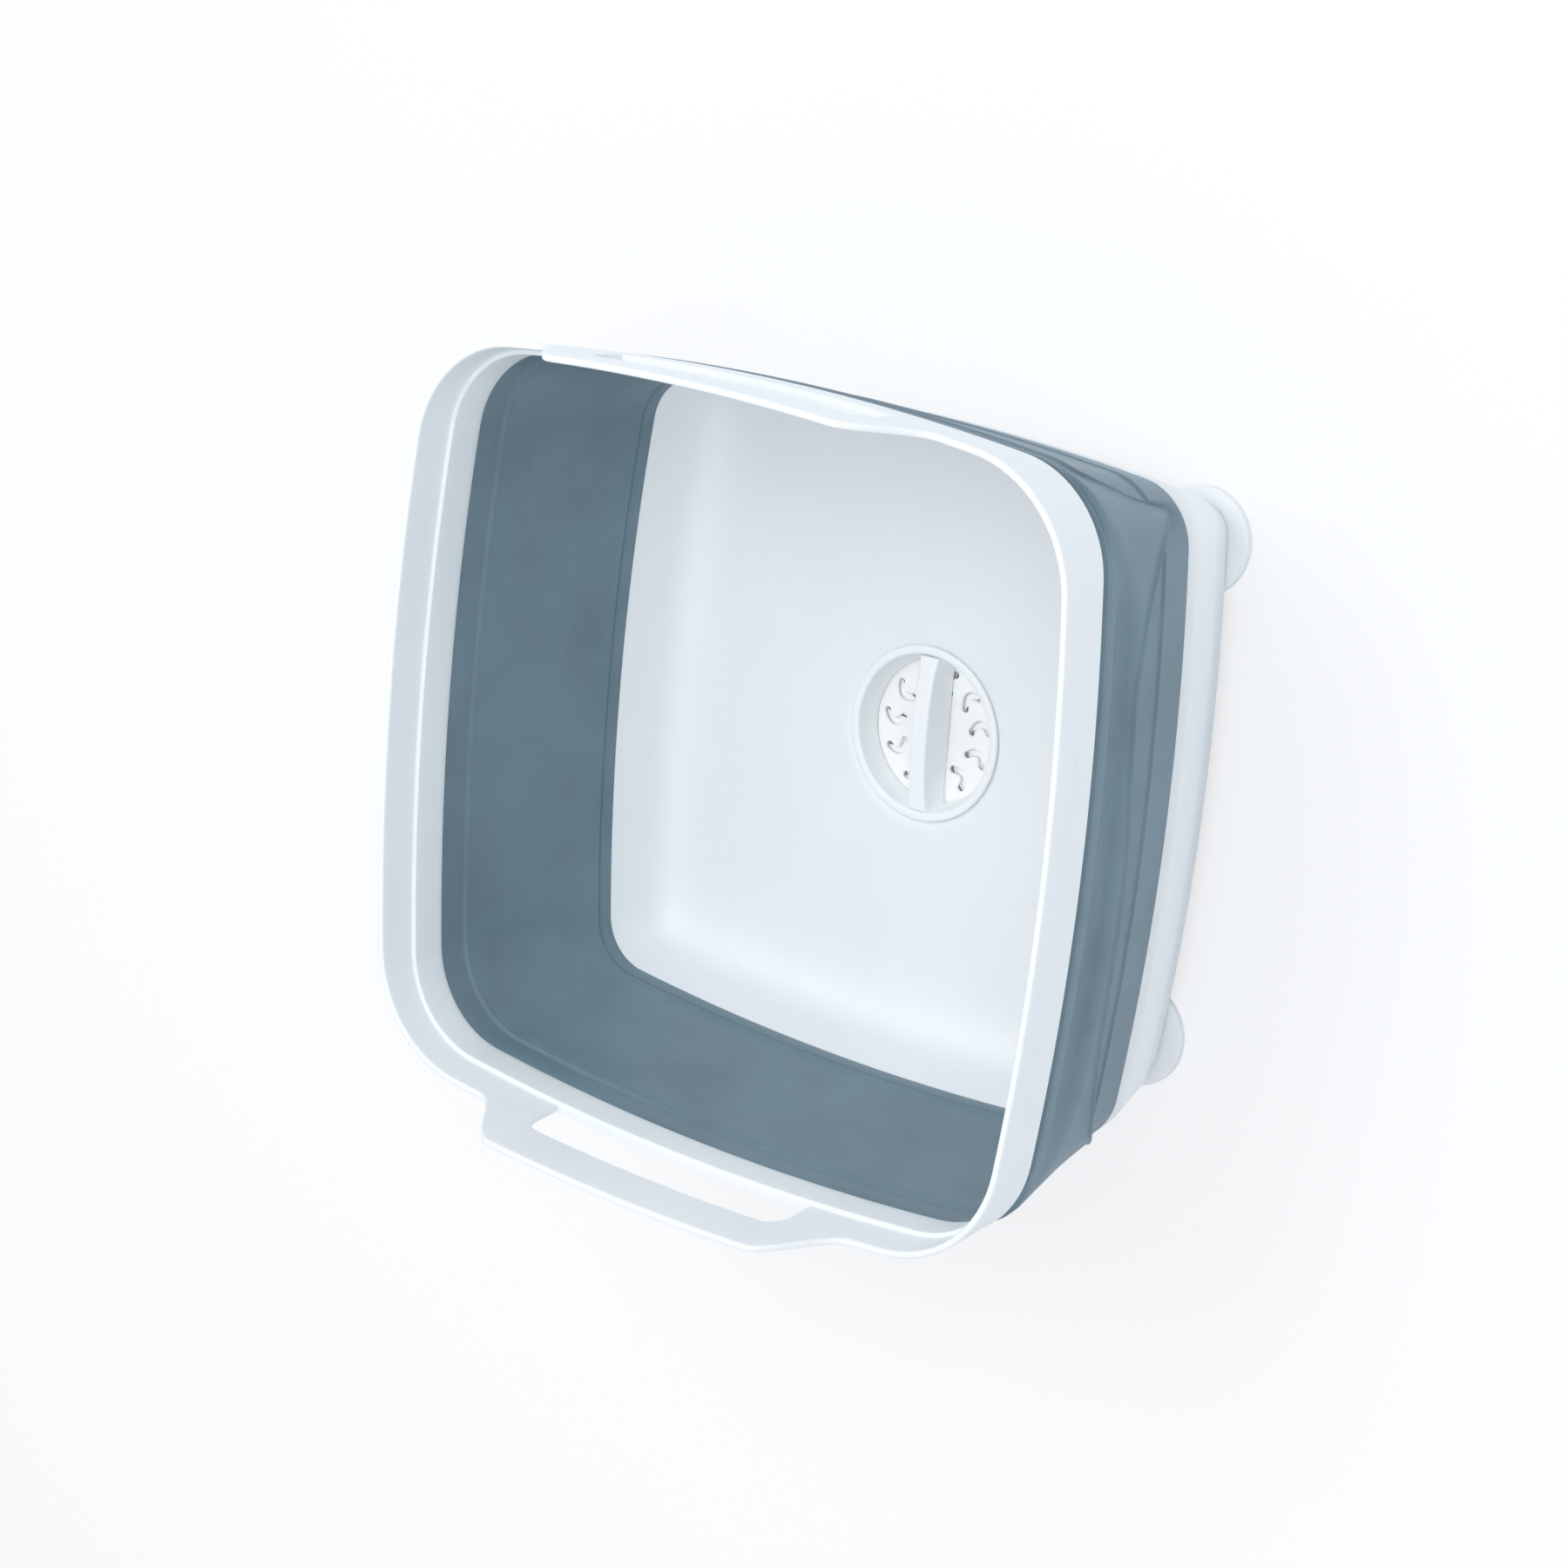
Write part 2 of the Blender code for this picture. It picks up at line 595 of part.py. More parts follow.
def make_drain(collection, cutters, white, ring_white, rubber):
    make_drain_body(collection, cutters, white)
    gasket = [
        (FLANGE_RADIUS - GASKET_INSET, GASKET_TOP),
        (FLANGE_RADIUS - GASKET_INSET, GASKET_TOP - GASKET_THICKNESS),
        (HOLE_RADIUS, GASKET_TOP - GASKET_THICKNESS),
        (HOLE_RADIUS, GASKET_TOP),
    ]
    turned("drain_gasket", gasket, collection, rubber)
    make_shutter(collection, cutters, white)
    make_grip(collection, cutters, ring_white)
    make_drain_seal(collection, rubber)
    make_pin(collection, ring_white)


def make_drain_body(collection, cutters, material):
    """The fixed cup, hung in the tray's hole with its flange under the floor."""
    pin_hole = PIN_RADIUS + CLEARANCE
    profile = [
        (BODY_OUTER, FLOOR_TOP),
        (BODY_OUTER, FLANGE_TOP),
        (FLANGE_RADIUS, FLANGE_TOP),
        (FLANGE_RADIUS, FLANGE_TOP - FLANGE_THICKNESS),
        (BODY_OUTER, FLANGE_TOP - FLANGE_THICKNESS),
        (BODY_OUTER, BODY_BOTTOM),
        (pin_hole, BODY_BOTTOM),
        (pin_hole, BODY_FLOOR_TOP),
        (BODY_INNER, BODY_FLOOR_TOP),
        (BODY_INNER, FLOOR_TOP),
    ]
    body = turned("drain_body", profile, collection, material)
    low = BODY_BOTTOM - OVERRUN
    slots = prism("drain_body_slot_cutter", slot_outlines(0.0, 0.0), low, BODY_FLOOR_TOP + OVERRUN, cutters)
    boolean(body, hide_cutter(slots), "DIFFERENCE")
    return body


def make_shutter(collection, cutters, material):
    """The disc that turns with the grip, with bowed slots over the body's own straight ones."""
    radius = DISH_OUTER_RADIUS
    hole = PIN_RADIUS + CLEARANCE
    profile = [
        (radius, SHUTTER_TOP),
        (radius, SHUTTER_BOTTOM),
        (hole, SHUTTER_BOTTOM),
        (hole, SHUTTER_TOP),
    ]
    shutter = turned("drain_shutter", profile, collection, material)
    low = SHUTTER_BOTTOM - OVERRUN
    outlines = slot_outlines(SHUTTER_TURN, SLOT_BULGE)
    slots = prism("shutter_slot_cutter", outlines, low, SHUTTER_TOP + OVERRUN, cutters)
    boolean(shutter, hide_cutter(slots), "DIFFERENCE")
    return shutter


def make_grip(collection, cutters, material):
    """The ring and its dished wall, turned, with the bar across joined on."""
    ring_inner = DRAIN_RING_RADIUS - DRAIN_RING_WIDTH
    dish_fall = RING_TOP - DISH_EDGE - DISH_FLOOR
    groove = RING_TOP - SEAL_DROP
    groove_half = SEAL_RADIUS + CLEARANCE
    inner = []
    for step in range(ARC_STEPS + 1):
        angle = QUARTER_TURN * step / ARC_STEPS
        radius = ring_inner - (ring_inner - DISH_FLOOR_RADIUS) * (1 - math.cos(angle))
        inner.append((radius, RING_TOP - DISH_EDGE - dish_fall * math.sin(angle)))
    profile = [
        (DRAIN_RING_RADIUS - DISH_EDGE, RING_TOP),
        (DRAIN_RING_RADIUS, RING_TOP - DISH_EDGE),
        (DRAIN_RING_RADIUS, RING_UNDERSIDE),
        (DISH_OUTER_RADIUS, RING_UNDERSIDE),
        (DISH_OUTER_RADIUS, groove + groove_half),
        (GROOVE_RADIUS, groove + groove_half),
        (GROOVE_RADIUS, groove - groove_half),
        (DISH_OUTER_RADIUS, groove - groove_half),
        (DISH_OUTER_RADIUS, DISH_FLOOR),
    ]
    profile += inner[::-1]
    profile.append((ring_inner + DISH_EDGE, RING_TOP))
    grip = turned("drain_grip", profile, collection, material)
    bar = make_bar(cutters)
    boolean(grip, hide_cutter(bar), "UNION")
    bore = [
        (0.0, DISH_FLOOR + PIN_LENGTH_IN_GRIP),
        (PIN_RADIUS + CLEARANCE, DISH_FLOOR + PIN_LENGTH_IN_GRIP),
        (PIN_RADIUS + CLEARANCE, DISH_FLOOR - OVERRUN),
        (0.0, DISH_FLOOR - OVERRUN),
    ]
    cutter = turned("grip_bore_cutter", bore, cutters, steps=SMALL_TURN_STEPS, closed=False)
    boolean(grip, hide_cutter(cutter), "DIFFERENCE")
    return grip


def make_bar(cutters):
    """The bar across the dish: sloping sides, a flat top that arches in the middle, ends inside the ring."""
    work = bmesh.new()
    reach = DISH_OUTER_RADIUS - CLEARANCE
    sections = []
    for step in range(BAR_STEPS + 1):
        share = 2 * step / BAR_STEPS - 1
        top = RING_TOP + BAR_ARCH * (1 - share * share)
        shoulder = BAR_TOP_WIDTH / 2
        foot = BAR_FOOT_WIDTH / 2
        shape = [
            (-foot, DISH_FLOOR),
            (foot, DISH_FLOOR),
            (shoulder, top - BAR_SHOULDER),
            (shoulder - BAR_SHOULDER, top),
            (BAR_SHOULDER - shoulder, top),
            (-shoulder, top - BAR_SHOULDER),
        ]
        sections.append([work.verts.new((x, reach * share, z)) for x, z in shape])
    for first, second in zip(sections, sections[1:]):
        for index in range(len(first)):
            after = (index + 1) % len(first)
            work.faces.new((first[index], first[after], second[after], second[index]))
    work.faces.new(sections[0])
    work.faces.new(sections[-1])
    bmesh.ops.recalc_face_normals(work, faces=work.faces[:])
    mesh = bpy.data.meshes.new("grip_bar")
    work.to_mesh(mesh)
    work.free()
    bar = bpy.data.objects.new("grip_bar", mesh)
    cutters.objects.link(bar)
    clear_of_groove = RING_TOP - SEAL_DROP + SEAL_RADIUS + 2 * CLEARANCE
    trim = [
        (0.0, RING_TOP + BAR_ARCH + OVERRUN),
        (reach, RING_TOP + BAR_ARCH + OVERRUN),
        (reach, clear_of_groove),
        (GROOVE_RADIUS - CLEARANCE, clear_of_groove),
        (GROOVE_RADIUS - CLEARANCE, DISH_FLOOR - OVERRUN),
        (0.0, DISH_FLOOR - OVERRUN),
    ]
    drum = turned("grip_bar_trim", trim, cutters, closed=False)
    boolean(bar, hide_cutter(drum), "INTERSECT")
    return bar


def make_drain_seal(collection, material):
    """The O-ring in the grip's groove, just clear of the body's wall."""
    centre = DISH_OUTER_RADIUS - SEAL_RADIUS + SEAL_SQUEEZE + CLEARANCE / 2
    height = RING_TOP - SEAL_DROP
    profile = []
    for step in range(SEAL_STEPS):
        angle = QUARTER_TURN - math.tau * step / SEAL_STEPS
        profile.append((centre + SEAL_RADIUS * math.cos(angle), height + SEAL_RADIUS * math.sin(angle)))
    return turned("drain_seal", profile, collection, material)


def make_pin(collection, material):
    head_top = BODY_BOTTOM - CLEARANCE
    profile = [
        (0.0, DISH_FLOOR + PIN_LENGTH_IN_GRIP - CLEARANCE),
        (PIN_RADIUS, DISH_FLOOR + PIN_LENGTH_IN_GRIP - CLEARANCE),
        (PIN_RADIUS, head_top),
        (PIN_HEAD_RADIUS, head_top),
        (PIN_HEAD_RADIUS, head_top - PIN_HEAD_HEIGHT),
        (0.0, head_top - PIN_HEAD_HEIGHT),
    ]
    return turned("drain_pin", profile, collection, material, steps=SMALL_TURN_STEPS, closed=False)


def main():
    clear_scene()
    parts = new_collection(COLLECTION)
    cutters = new_collection(CUTTERS)
    rim_white = plastic("rim_polypropylene", RIM_COLOUR, 0.42)
    tray_white = plastic("tray_polypropylene", TRAY_COLOUR, 0.45)
    drain_white = plastic("drain_polypropylene", DRAIN_COLOUR, 0.40)
    wall_grey = plastic("wall_elastomer", WALL_COLOUR, 0.48)
    seal_grey = plastic("seal_rubber", SEAL_COLOUR, 0.60)
    make_rim(parts, cutters, rim_white)
    make_wall(parts, wall_grey)
    make_tray(parts, cutters, tray_white)
    make_feet(parts, tray_white)
    make_drain(parts, cutters, drain_white, tray_white, seal_grey)


main()
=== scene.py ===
"""Dresses the collapsible camp washbasin: a moulded rim, a folding elastomer wall, a tray and a turning drain.

Metres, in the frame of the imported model: +Z up, the origin on the surface under the feet.
"""

import math
from functools import lru_cache

import bmesh
import bpy
from bpy.props import FloatProperty, FloatVectorProperty, IntProperty, PointerProperty
from mathutils import Matrix, Vector, noise


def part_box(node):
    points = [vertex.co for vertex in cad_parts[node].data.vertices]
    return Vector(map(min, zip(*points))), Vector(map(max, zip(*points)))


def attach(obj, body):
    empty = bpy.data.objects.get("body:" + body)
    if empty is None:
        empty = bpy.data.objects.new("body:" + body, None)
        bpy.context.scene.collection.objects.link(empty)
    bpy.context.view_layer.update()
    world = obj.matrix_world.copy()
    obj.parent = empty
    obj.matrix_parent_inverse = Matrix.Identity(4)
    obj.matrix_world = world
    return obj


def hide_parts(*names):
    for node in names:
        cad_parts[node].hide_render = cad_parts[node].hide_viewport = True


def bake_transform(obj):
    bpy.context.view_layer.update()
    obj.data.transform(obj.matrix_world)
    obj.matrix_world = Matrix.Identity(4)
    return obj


bl_info = {
    "name": "Camp Washbasin",
    "version": (1, 0, 0),
    "blender": (4, 5, 0),
    "location": "3D View > Sidebar > Washbasin",
    "description": "Builds the looks of a collapsible camp washbasin over its packed model",
    "category": "Object",
}

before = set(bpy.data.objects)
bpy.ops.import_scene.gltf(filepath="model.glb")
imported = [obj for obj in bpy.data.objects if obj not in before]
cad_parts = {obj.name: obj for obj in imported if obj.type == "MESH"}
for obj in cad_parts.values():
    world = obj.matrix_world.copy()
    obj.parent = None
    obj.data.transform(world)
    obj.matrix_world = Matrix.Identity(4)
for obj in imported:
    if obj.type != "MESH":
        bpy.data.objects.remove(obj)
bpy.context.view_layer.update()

# The radius of the bowed sides, and how much nearer the front and rear are than the left and right
SIDE_RADIUS = 1.0
DEPTH_LOSS = 0.003

# The lip's half width, and the edges where the soft wall meets the rim above and the tray below
LIP_HALF_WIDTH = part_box("rim_frame")[1].x
RIM_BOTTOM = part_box("rim_frame")[0].z
RIM_EDGE_INSIDE = RIM_BOTTOM - 0.0014
RIM_EDGE_OUTSIDE = RIM_BOTTOM + 0.0015
TRAY_EDGE_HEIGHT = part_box("tray")[1].z
TRAY_EDGE_INSIDE = TRAY_EDGE_HEIGHT - 0.0034
TRAY_EDGE_OUTSIDE = TRAY_EDGE_HEIGHT + 0.0050
JOINT_GAP = 0.0003

MERGE = 0.0000005
LONG_ROUNDING = 0.005
SMOOTH_ANGLE = math.radians(38)
QUARTER_TURN = math.pi / 2
ROUND_Z = {"cent": (0.0, 0.0, 0.0), "axis": (0.0, 0.0, 1.0), "dvec": (0.0, 0.0, 0.0)}


# Sizes and colours that a user may change

class RimSettings(bpy.types.PropertyGroup):
    """The stiff rim with its two handles."""

    band_half_width: FloatProperty(
        name="Band Half Width", description="Half the width inside the rim's lower band",
        default=LIP_HALF_WIDTH - 0.0065, unit="LENGTH")
    band_corner: FloatProperty(
        name="Band Corner", description="Corner radius inside the rim's lower band", default=0.0385, unit="LENGTH")
    ledge_height: FloatProperty(
        name="Ledge Height", description="Height of the ledge between the rim's two bands",
        default=0.1472, unit="LENGTH")
    lip_height: FloatProperty(
        name="Lip Height", description="Height of the lip away from the handles", default=0.162, unit="LENGTH")
    lip_corner: FloatProperty(
        name="Lip Corner", description="Corner radius round the outside of the lip", default=0.050, unit="LENGTH")
    lip_thickness: FloatProperty(
        name="Lip Thickness", description="Thickness of the lip", default=0.0027, unit="LENGTH")
    handle_rise: FloatProperty(
        name="Handle Rise", description="Height of a handle above the lip",
        default=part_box("rim_frame")[1].z - 0.162, unit="LENGTH")
    front_lean: FloatProperty(
        name="Front Lean", description="How far the front handle leans out at its top", default=0.0025, unit="LENGTH")
    rear_lean: FloatProperty(
        name="Rear Lean", description="How far the rear handle leans out at its top", default=0.0, unit="LENGTH")
    handle_top_half: FloatProperty(
        name="Handle Top Half", description="Half the length of a handle at full height",
        default=0.0625, unit="LENGTH")
    handle_foot_half: FloatProperty(
        name="Handle Foot Half", description="Half the length of a handle where it leaves the lip",
        default=0.0905, unit="LENGTH")
    slot_half: FloatProperty(
        name="Slot Half", description="Half the length of a finger slot", default=0.0625, unit="LENGTH")
    slot_height: FloatProperty(
        name="Slot Height", description="Height of a finger slot above the ledge", default=0.021, unit="LENGTH")
    slot_corner: FloatProperty(
        name="Slot Corner", description="Radius of a finger slot's upper corners", default=0.009, unit="LENGTH")
    colour: FloatVectorProperty(
        name="Colour", description="Colour of the rim's plastic", subtype="COLOR", size=3,
        default=(0.86, 0.905, 0.94), min=0.0, max=1.0)


class WallSettings(bpy.types.PropertyGroup):
    """The folding elastomer wall."""

    fold_height: FloatProperty(
        name="Fold Height", description="Height of the outer fold's edge in the middle of the left and right sides",
        default=0.1005, unit="LENGTH")
    fold_point: FloatProperty(
        name="Fold Point", description="How much the corner radius shrinks at the fold's edge",
        default=0.0012, unit="LENGTH")
    hollow: FloatProperty(
        name="Hollow", description="Depth of the hollow above the swell", default=0.0010, unit="LENGTH")
    collar_height: FloatProperty(
        name="Collar Height", description="Height of the ridge below the inner collar", default=0.1206, unit="LENGTH")
    waviness: FloatProperty(
        name="Waviness", description="Unevenness of the soft wall", default=0.00035, unit="LENGTH")
    colour: FloatVectorProperty(
        name="Colour", description="Colour of the elastomer", subtype="COLOR", size=3,
        default=(0.150, 0.222, 0.270), min=0.0, max=1.0)


class TraySettings(bpy.types.PropertyGroup):
    """The stiff tray with its skirt and its feet."""

    half_width: FloatProperty(
        name="Half Width", description="Half the width outside the tray's edge",
        default=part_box("tray")[1].x, unit="LENGTH")
    corner: FloatProperty(
        name="Corner", description="Corner radius outside the tray's edge", default=0.025, unit="LENGTH")
    line_corner: FloatProperty(
        name="Line Corner", description="Corner radius of the line above the skirt", default=0.0137, unit="LENGTH")
    wall: FloatProperty(name="Wall", description="Thickness of the tray's wall", default=0.0015, unit="LENGTH")
    line_height: FloatProperty(
        name="Line Height", description="Height of the line above the skirt", default=0.0196, unit="LENGTH")
    taper: FloatProperty(
        name="Taper", description="How far the wall draws in down to the line", default=0.009, unit="LENGTH")
    floor_height: FloatProperty(
        name="Floor Height", description="Height of the tray's floor", default=0.018, unit="LENGTH")
    floor_thickness: FloatProperty(
        name="Floor Thickness", description="Thickness of the tray's floor", default=0.0025, unit="LENGTH")
    fillet_length: FloatProperty(
        name="Fillet Length", description="How far the fillet round the floor reaches", default=0.0165, unit="LENGTH")
    floor_dip: FloatProperty(
        name="Floor Dip", description="How far the floor dips round the drain", default=0.0006, unit="LENGTH")
    skirt_bottom: FloatProperty(
        name="Skirt Bottom", description="Height of the skirt's lower edge",
        default=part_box("tray")[0].z, unit="LENGTH")
    hole_radius: FloatProperty(
        name="Hole Radius", description="Radius of the drain's hole", default=0.0339, unit="LENGTH")
    colour: FloatVectorProperty(
        name="Colour", description="Colour of the tray's plastic", subtype="COLOR", size=3,
        default=(0.90, 0.94, 0.97), min=0.0, max=1.0)


class DrainSettings(bpy.types.PropertyGroup):
    """The turning drain in the tray's floor."""

    ring_radius: FloatProperty(
        name="Ring Radius", description="Radius outside the grip's ring",
        default=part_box("drain_grip")[1].x, unit="LENGTH")
    ring_width: FloatProperty(name="Ring Width", description="Width of the grip's ring", default=0.0038, unit="LENGTH")
    dish_radius: FloatProperty(
        name="Dish Radius", description="Radius outside the dish's wall", default=0.0316, unit="LENGTH")
    dish_floor_radius: FloatProperty(
        name="Dish Floor Radius", description="Radius of the slotted floor that shows", default=0.0288, unit="LENGTH")
    bar_width: FloatProperty(name="Bar Width", description="Width of the bar's top", default=0.0074, unit="LENGTH")
    bar_foot: FloatProperty(name="Bar Foot", description="Width of the bar's foot", default=0.012, unit="LENGTH")
    bar_arch: FloatProperty(
        name="Bar Arch", description="Height of the bar's middle above the ring", default=0.003, unit="LENGTH")
    bar_turn: FloatProperty(
        name="Bar Turn", description="Turn of the bar at rest", default=math.radians(1.7), subtype="ANGLE")
    slot_count: IntProperty(name="Slot Count", description="Slots in the shutter", default=11, min=3)
    slot_start: FloatProperty(
        name="Slot Start", description="Where round the disc the first slot is", default=math.radians(8),
        subtype="ANGLE")
    slot_width: FloatProperty(name="Slot Width", description="Width of a slot", default=0.0028, unit="LENGTH")
    slot_inner: FloatProperty(
        name="Slot Inner", description="Radius of a slot's inner end", default=0.0167, unit="LENGTH")
    slot_outer: FloatProperty(
        name="Slot Outer", description="Radius of a slot's outer end", default=0.0247, unit="LENGTH")
    slot_bulge: FloatProperty(
        name="Slot Bulge", description="How far a slot bows sideways", default=math.radians(9), subtype="ANGLE")
    shutter_turn: FloatProperty(
        name="Shutter Turn", description="Turn of the shutter's slots at rest", default=math.radians(2.5),
        subtype="ANGLE")
    colour: FloatVectorProperty(
        name="Colour", description="Colour of the shutter's plastic", subtype="COLOR", size=3,
        default=(0.89, 0.905, 0.895), min=0.0, max=1.0)


class StageSettings(bpy.types.PropertyGroup):
    """The floor, the light and the camera."""

    floor_size: FloatProperty(name="Floor Size", description="Width of the floor", default=12.0, unit="LENGTH")
    floor_glow: FloatProperty(
        name="Floor Glow", description="Share of plain white that only the camera sees on the floor", default=0.66)
    world_strength: FloatProperty(name="World Strength", description="Light from all round", default=0.645)
    rear_power: FloatProperty(name="Rear Power", description="Power of the lamp behind", default=8.15, unit="POWER")
    front_power: FloatProperty(
        name="Front Power", description="Power of the lamp on the camera's side", default=6.25, unit="POWER")
    top_power: FloatProperty(name="Top Power", description="Power of the lamp above", default=4.55, unit="POWER")
    lamp_size: FloatProperty(name="Lamp Size", description="Width of each lamp", default=1.0, unit="LENGTH")
    lens: FloatProperty(name="Lens", description="Focal length of the camera", default=80.69, unit="CAMERA")


# The fold's edge, from the middle of the right side to the middle of the rear one: how far along the outline, its
# height against the fold height, how far it stands out, and the height up to which the wall above it swells
FOLD_EDGE = (
    (0.0000, 0.0000, 0.0032, 0.1080),
    (0.0600, 0.0010, 0.0032, 0.1085),
    (0.0840, -0.0040, 0.0032, 0.1110),
    (0.1040, -0.0140, 0.0026, 0.1180),
    (0.1150, -0.0220, 0.0016, 0.1230),
    (0.1240, -0.0285, 0.0006, 0.1270),
    (0.1290, -0.0325, -0.0004, 0.1290),
    (0.1325, -0.0325, -0.0008, 0.1290),
    (0.1350, -0.0235, -0.0008, 0.1290),
    (0.1382, -0.0110, -0.0006, 0.1290),
    (0.1430, -0.0015, -0.0005, 0.1290),
    (0.1485, 0.0100, -0.0004, 0.1290),
    (0.1540, 0.0170, -0.0003, 0.1290),
    (0.1610, 0.0190, 0.0000, 0.1290),
    (0.2680, 0.0195, 0.0000, 0.1290),
)


# How far the wall drops from the fold's edge to the fold's root
FOLD_DEPTH = 0.0016


# Outlines and skins

@lru_cache(maxsize=None)
def arc_centres(half_width, corner):
    """The radius of the sides' arcs and the centres of the right side's, the rear side's and the corner's arcs."""
    side = SIDE_RADIUS - (LIP_HALF_WIDTH - half_width)
    right = Vector((half_width - side, 0.0))
    rear = Vector((0.0, half_width - DEPTH_LOSS - side))
    between = rear - right
    outward = Vector((between.y, -between.x)).normalized()
    if outward.x < 0:
        outward = -outward
    reach = math.sqrt((side - corner) ** 2 - (between.length / 2) ** 2)
    return side, right, rear, (right + rear) / 2 + outward * reach


def stations_round(side_steps, corner_steps, end_steps):
    """Stations round the basin as (sign x, sign y, stretch, share), anticlockwise from the right side's middle."""
    quarter = [("side", step / side_steps) for step in range(side_steps)]
    quarter += [("corner", step / corner_steps) for step in range(corner_steps)]
    quarter += [("end", 1 - step / end_steps) for step in range(end_steps)]
    half = [(1, 1, *place) for place in quarter]
    half += [(-1, 1, *place) for place in [("end", 0.0)] + quarter[:0:-1]]
    return half + [(-x, -y, stretch, share) for x, y, stretch, share in half]


def outline_place(station, half_width, corner):
    """Where a station is on a square with bowed sides and round corners."""
    sign_x, sign_y, stretch, share = station
    side, right, rear, centre = arc_centres(half_width, corner)
    start = math.atan2(centre.y - right.y, centre.x - right.x)
    end = math.atan2(centre.y - rear.y, centre.x - rear.x)
    if stretch == "side":
        angle = math.asin(share * math.sin(start))
        place = right + side * Vector((math.cos(angle), math.sin(angle)))
    elif stretch == "corner":
        angle = start + (end - start) * share
        place = centre + corner * Vector((math.cos(angle), math.sin(angle)))
    else:
        angle = math.asin(share * math.cos(end))
        place = rear + side * Vector((math.sin(angle), math.cos(angle)))
    return Vector((sign_x * place.x, sign_y * place.y))


def smooth_share(value, low, high):
    """0 up to low, 1 from high on, and an even curve between."""
    share = min(max((value - low) / (high - low), 0.0), 1.0)
    return share * share * (3 - 2 * share)


def follow(points, value):
    """The values at a place along a run of points, on smooth curves from one point to the next."""
    index = max(number for number in range(len(points) - 1) if points[number][0] <= value)
    before, start, end, after = (points[min(max(index + step, 0), len(points) - 1)] for step in (-1, 0, 1, 2))
    span = end[0] - start[0]
    share = (value - start[0]) / span
    made = []
    for column in range(1, len(start)):
        leaving = span * (end[column] - before[column]) / (end[0] - before[0])
        arriving = span * (after[column] - start[column]) / (after[0] - start[0])
        rest = 1 - share
        made.append(
            start[column] * (1 + 2 * share) * rest * rest + leaving * share * rest * rest
            + end[column] * share * share * (3 - 2 * share) - arriving * share * share * rest)
    return made


def soften(rows, few=4):
    """Rounds the bends of a closed run of rows. Each row is its values and, last, the length of its rounding."""
    values = [Vector(row[:-1]) for row in rows]
    made = []
    for index, row in enumerate(rows):
        here, reach = values[index], row[-1]
        if not reach:
            made.append(here)
            continue
        steps = few * 4 if reach > LONG_ROUNDING else few
        before = values[index - 1] - here
        after = values[(index + 1) % len(rows)] - here
        start = here + before * min(reach / before.length, 0.49)
        end = here + after * min(reach / after.length, 0.49)
        for step in range(steps + 1):
            share = step / steps
            made.append(start.lerp(here, share).lerp(here.lerp(end, share), share))
    return made


def skin(rows, closed=True):
    """A bmesh that runs through rings of points, one after another, and closes on its first ring or with two caps."""
    mesh = bmesh.new()
    number = mesh.verts.layers.int.new("number")
    verts = bmesh.ops.create_circle(mesh, segments=len(rows[0]), radius=1.0)["verts"]
    for index, vert in enumerate(verts):
        vert[number] = index
        vert.co = rows[0][index]
    edges = mesh.edges[:]
    first = list(edges)
    for row in rows[1:] + (rows[:1] if closed else []):
        made = bmesh.ops.extrude_edge_only(mesh, edges=edges)["geom"]
        edges = [part for part in made if isinstance(part, bmesh.types.BMEdge)]
        for vert in made:
            if isinstance(vert, bmesh.types.BMVert):
                vert.co = row[vert[number]]
    if closed:
        bmesh.ops.remove_doubles(mesh, verts=mesh.verts, dist=MERGE)
    else:
        bmesh.ops.contextual_create(mesh, geom=first)
        bmesh.ops.contextual_create(mesh, geom=edges)
    bmesh.ops.recalc_face_normals(mesh, faces=mesh.faces)
    return mesh


def swept(stations, section):
    """A skin through the like points of every station's section."""
    sections = [section(station) for station in stations]
    return skin([list(row) for row in zip(*sections)])


def spun(profile, steps, closed=False):
    """A bmesh turned round the Z axis from (radius, height) points."""
    mesh = bmesh.new()
    verts = [mesh.verts.new((radius, 0.0, height)) for radius, height in profile]
    edges = [mesh.edges.new(pair) for pair in zip(verts, verts[1:])]
    if closed:
        edges.append(mesh.edges.new((verts[-1], verts[0])))
    bmesh.ops.spin(
        mesh, geom=verts + edges, angle=math.tau, steps=steps, use_merge=True, use_duplicate=False, **ROUND_Z)
    bmesh.ops.remove_doubles(mesh, verts=mesh.verts, dist=MERGE)
    bmesh.ops.recalc_face_normals(mesh, faces=mesh.faces)
    return mesh


def rank(place):
    """A number to sort places by, which differs from one place to another."""
    return place.x + math.e * place.y + math.pi ** 2 * place.z


def put_in_order(mesh):
    """Sorts a bmesh's parts by their places, because Blender's operators number them differently in each run."""
    mesh.verts.sort(key=lambda vert: rank(vert.co))
    mesh.edges.sort(key=lambda edge: rank(edge.verts[0].co) + rank(edge.verts[1].co))
    mesh.faces.sort(key=lambda face: rank(face.calc_center_bounds()))


def new_piece(name, mesh, smooth_angle=SMOOTH_ANGLE):
    """An object from a bmesh, smooth but for its sharp edges."""
    put_in_order(mesh)
    data = bpy.data.meshes.new(name)
    mesh.to_mesh(data)
    mesh.free()
    data.shade_smooth()
    data.set_sharp_from_angle(angle=smooth_angle)
    piece = bpy.data.objects.new(name, data)
    bpy.context.scene.collection.objects.link(piece)
    return piece


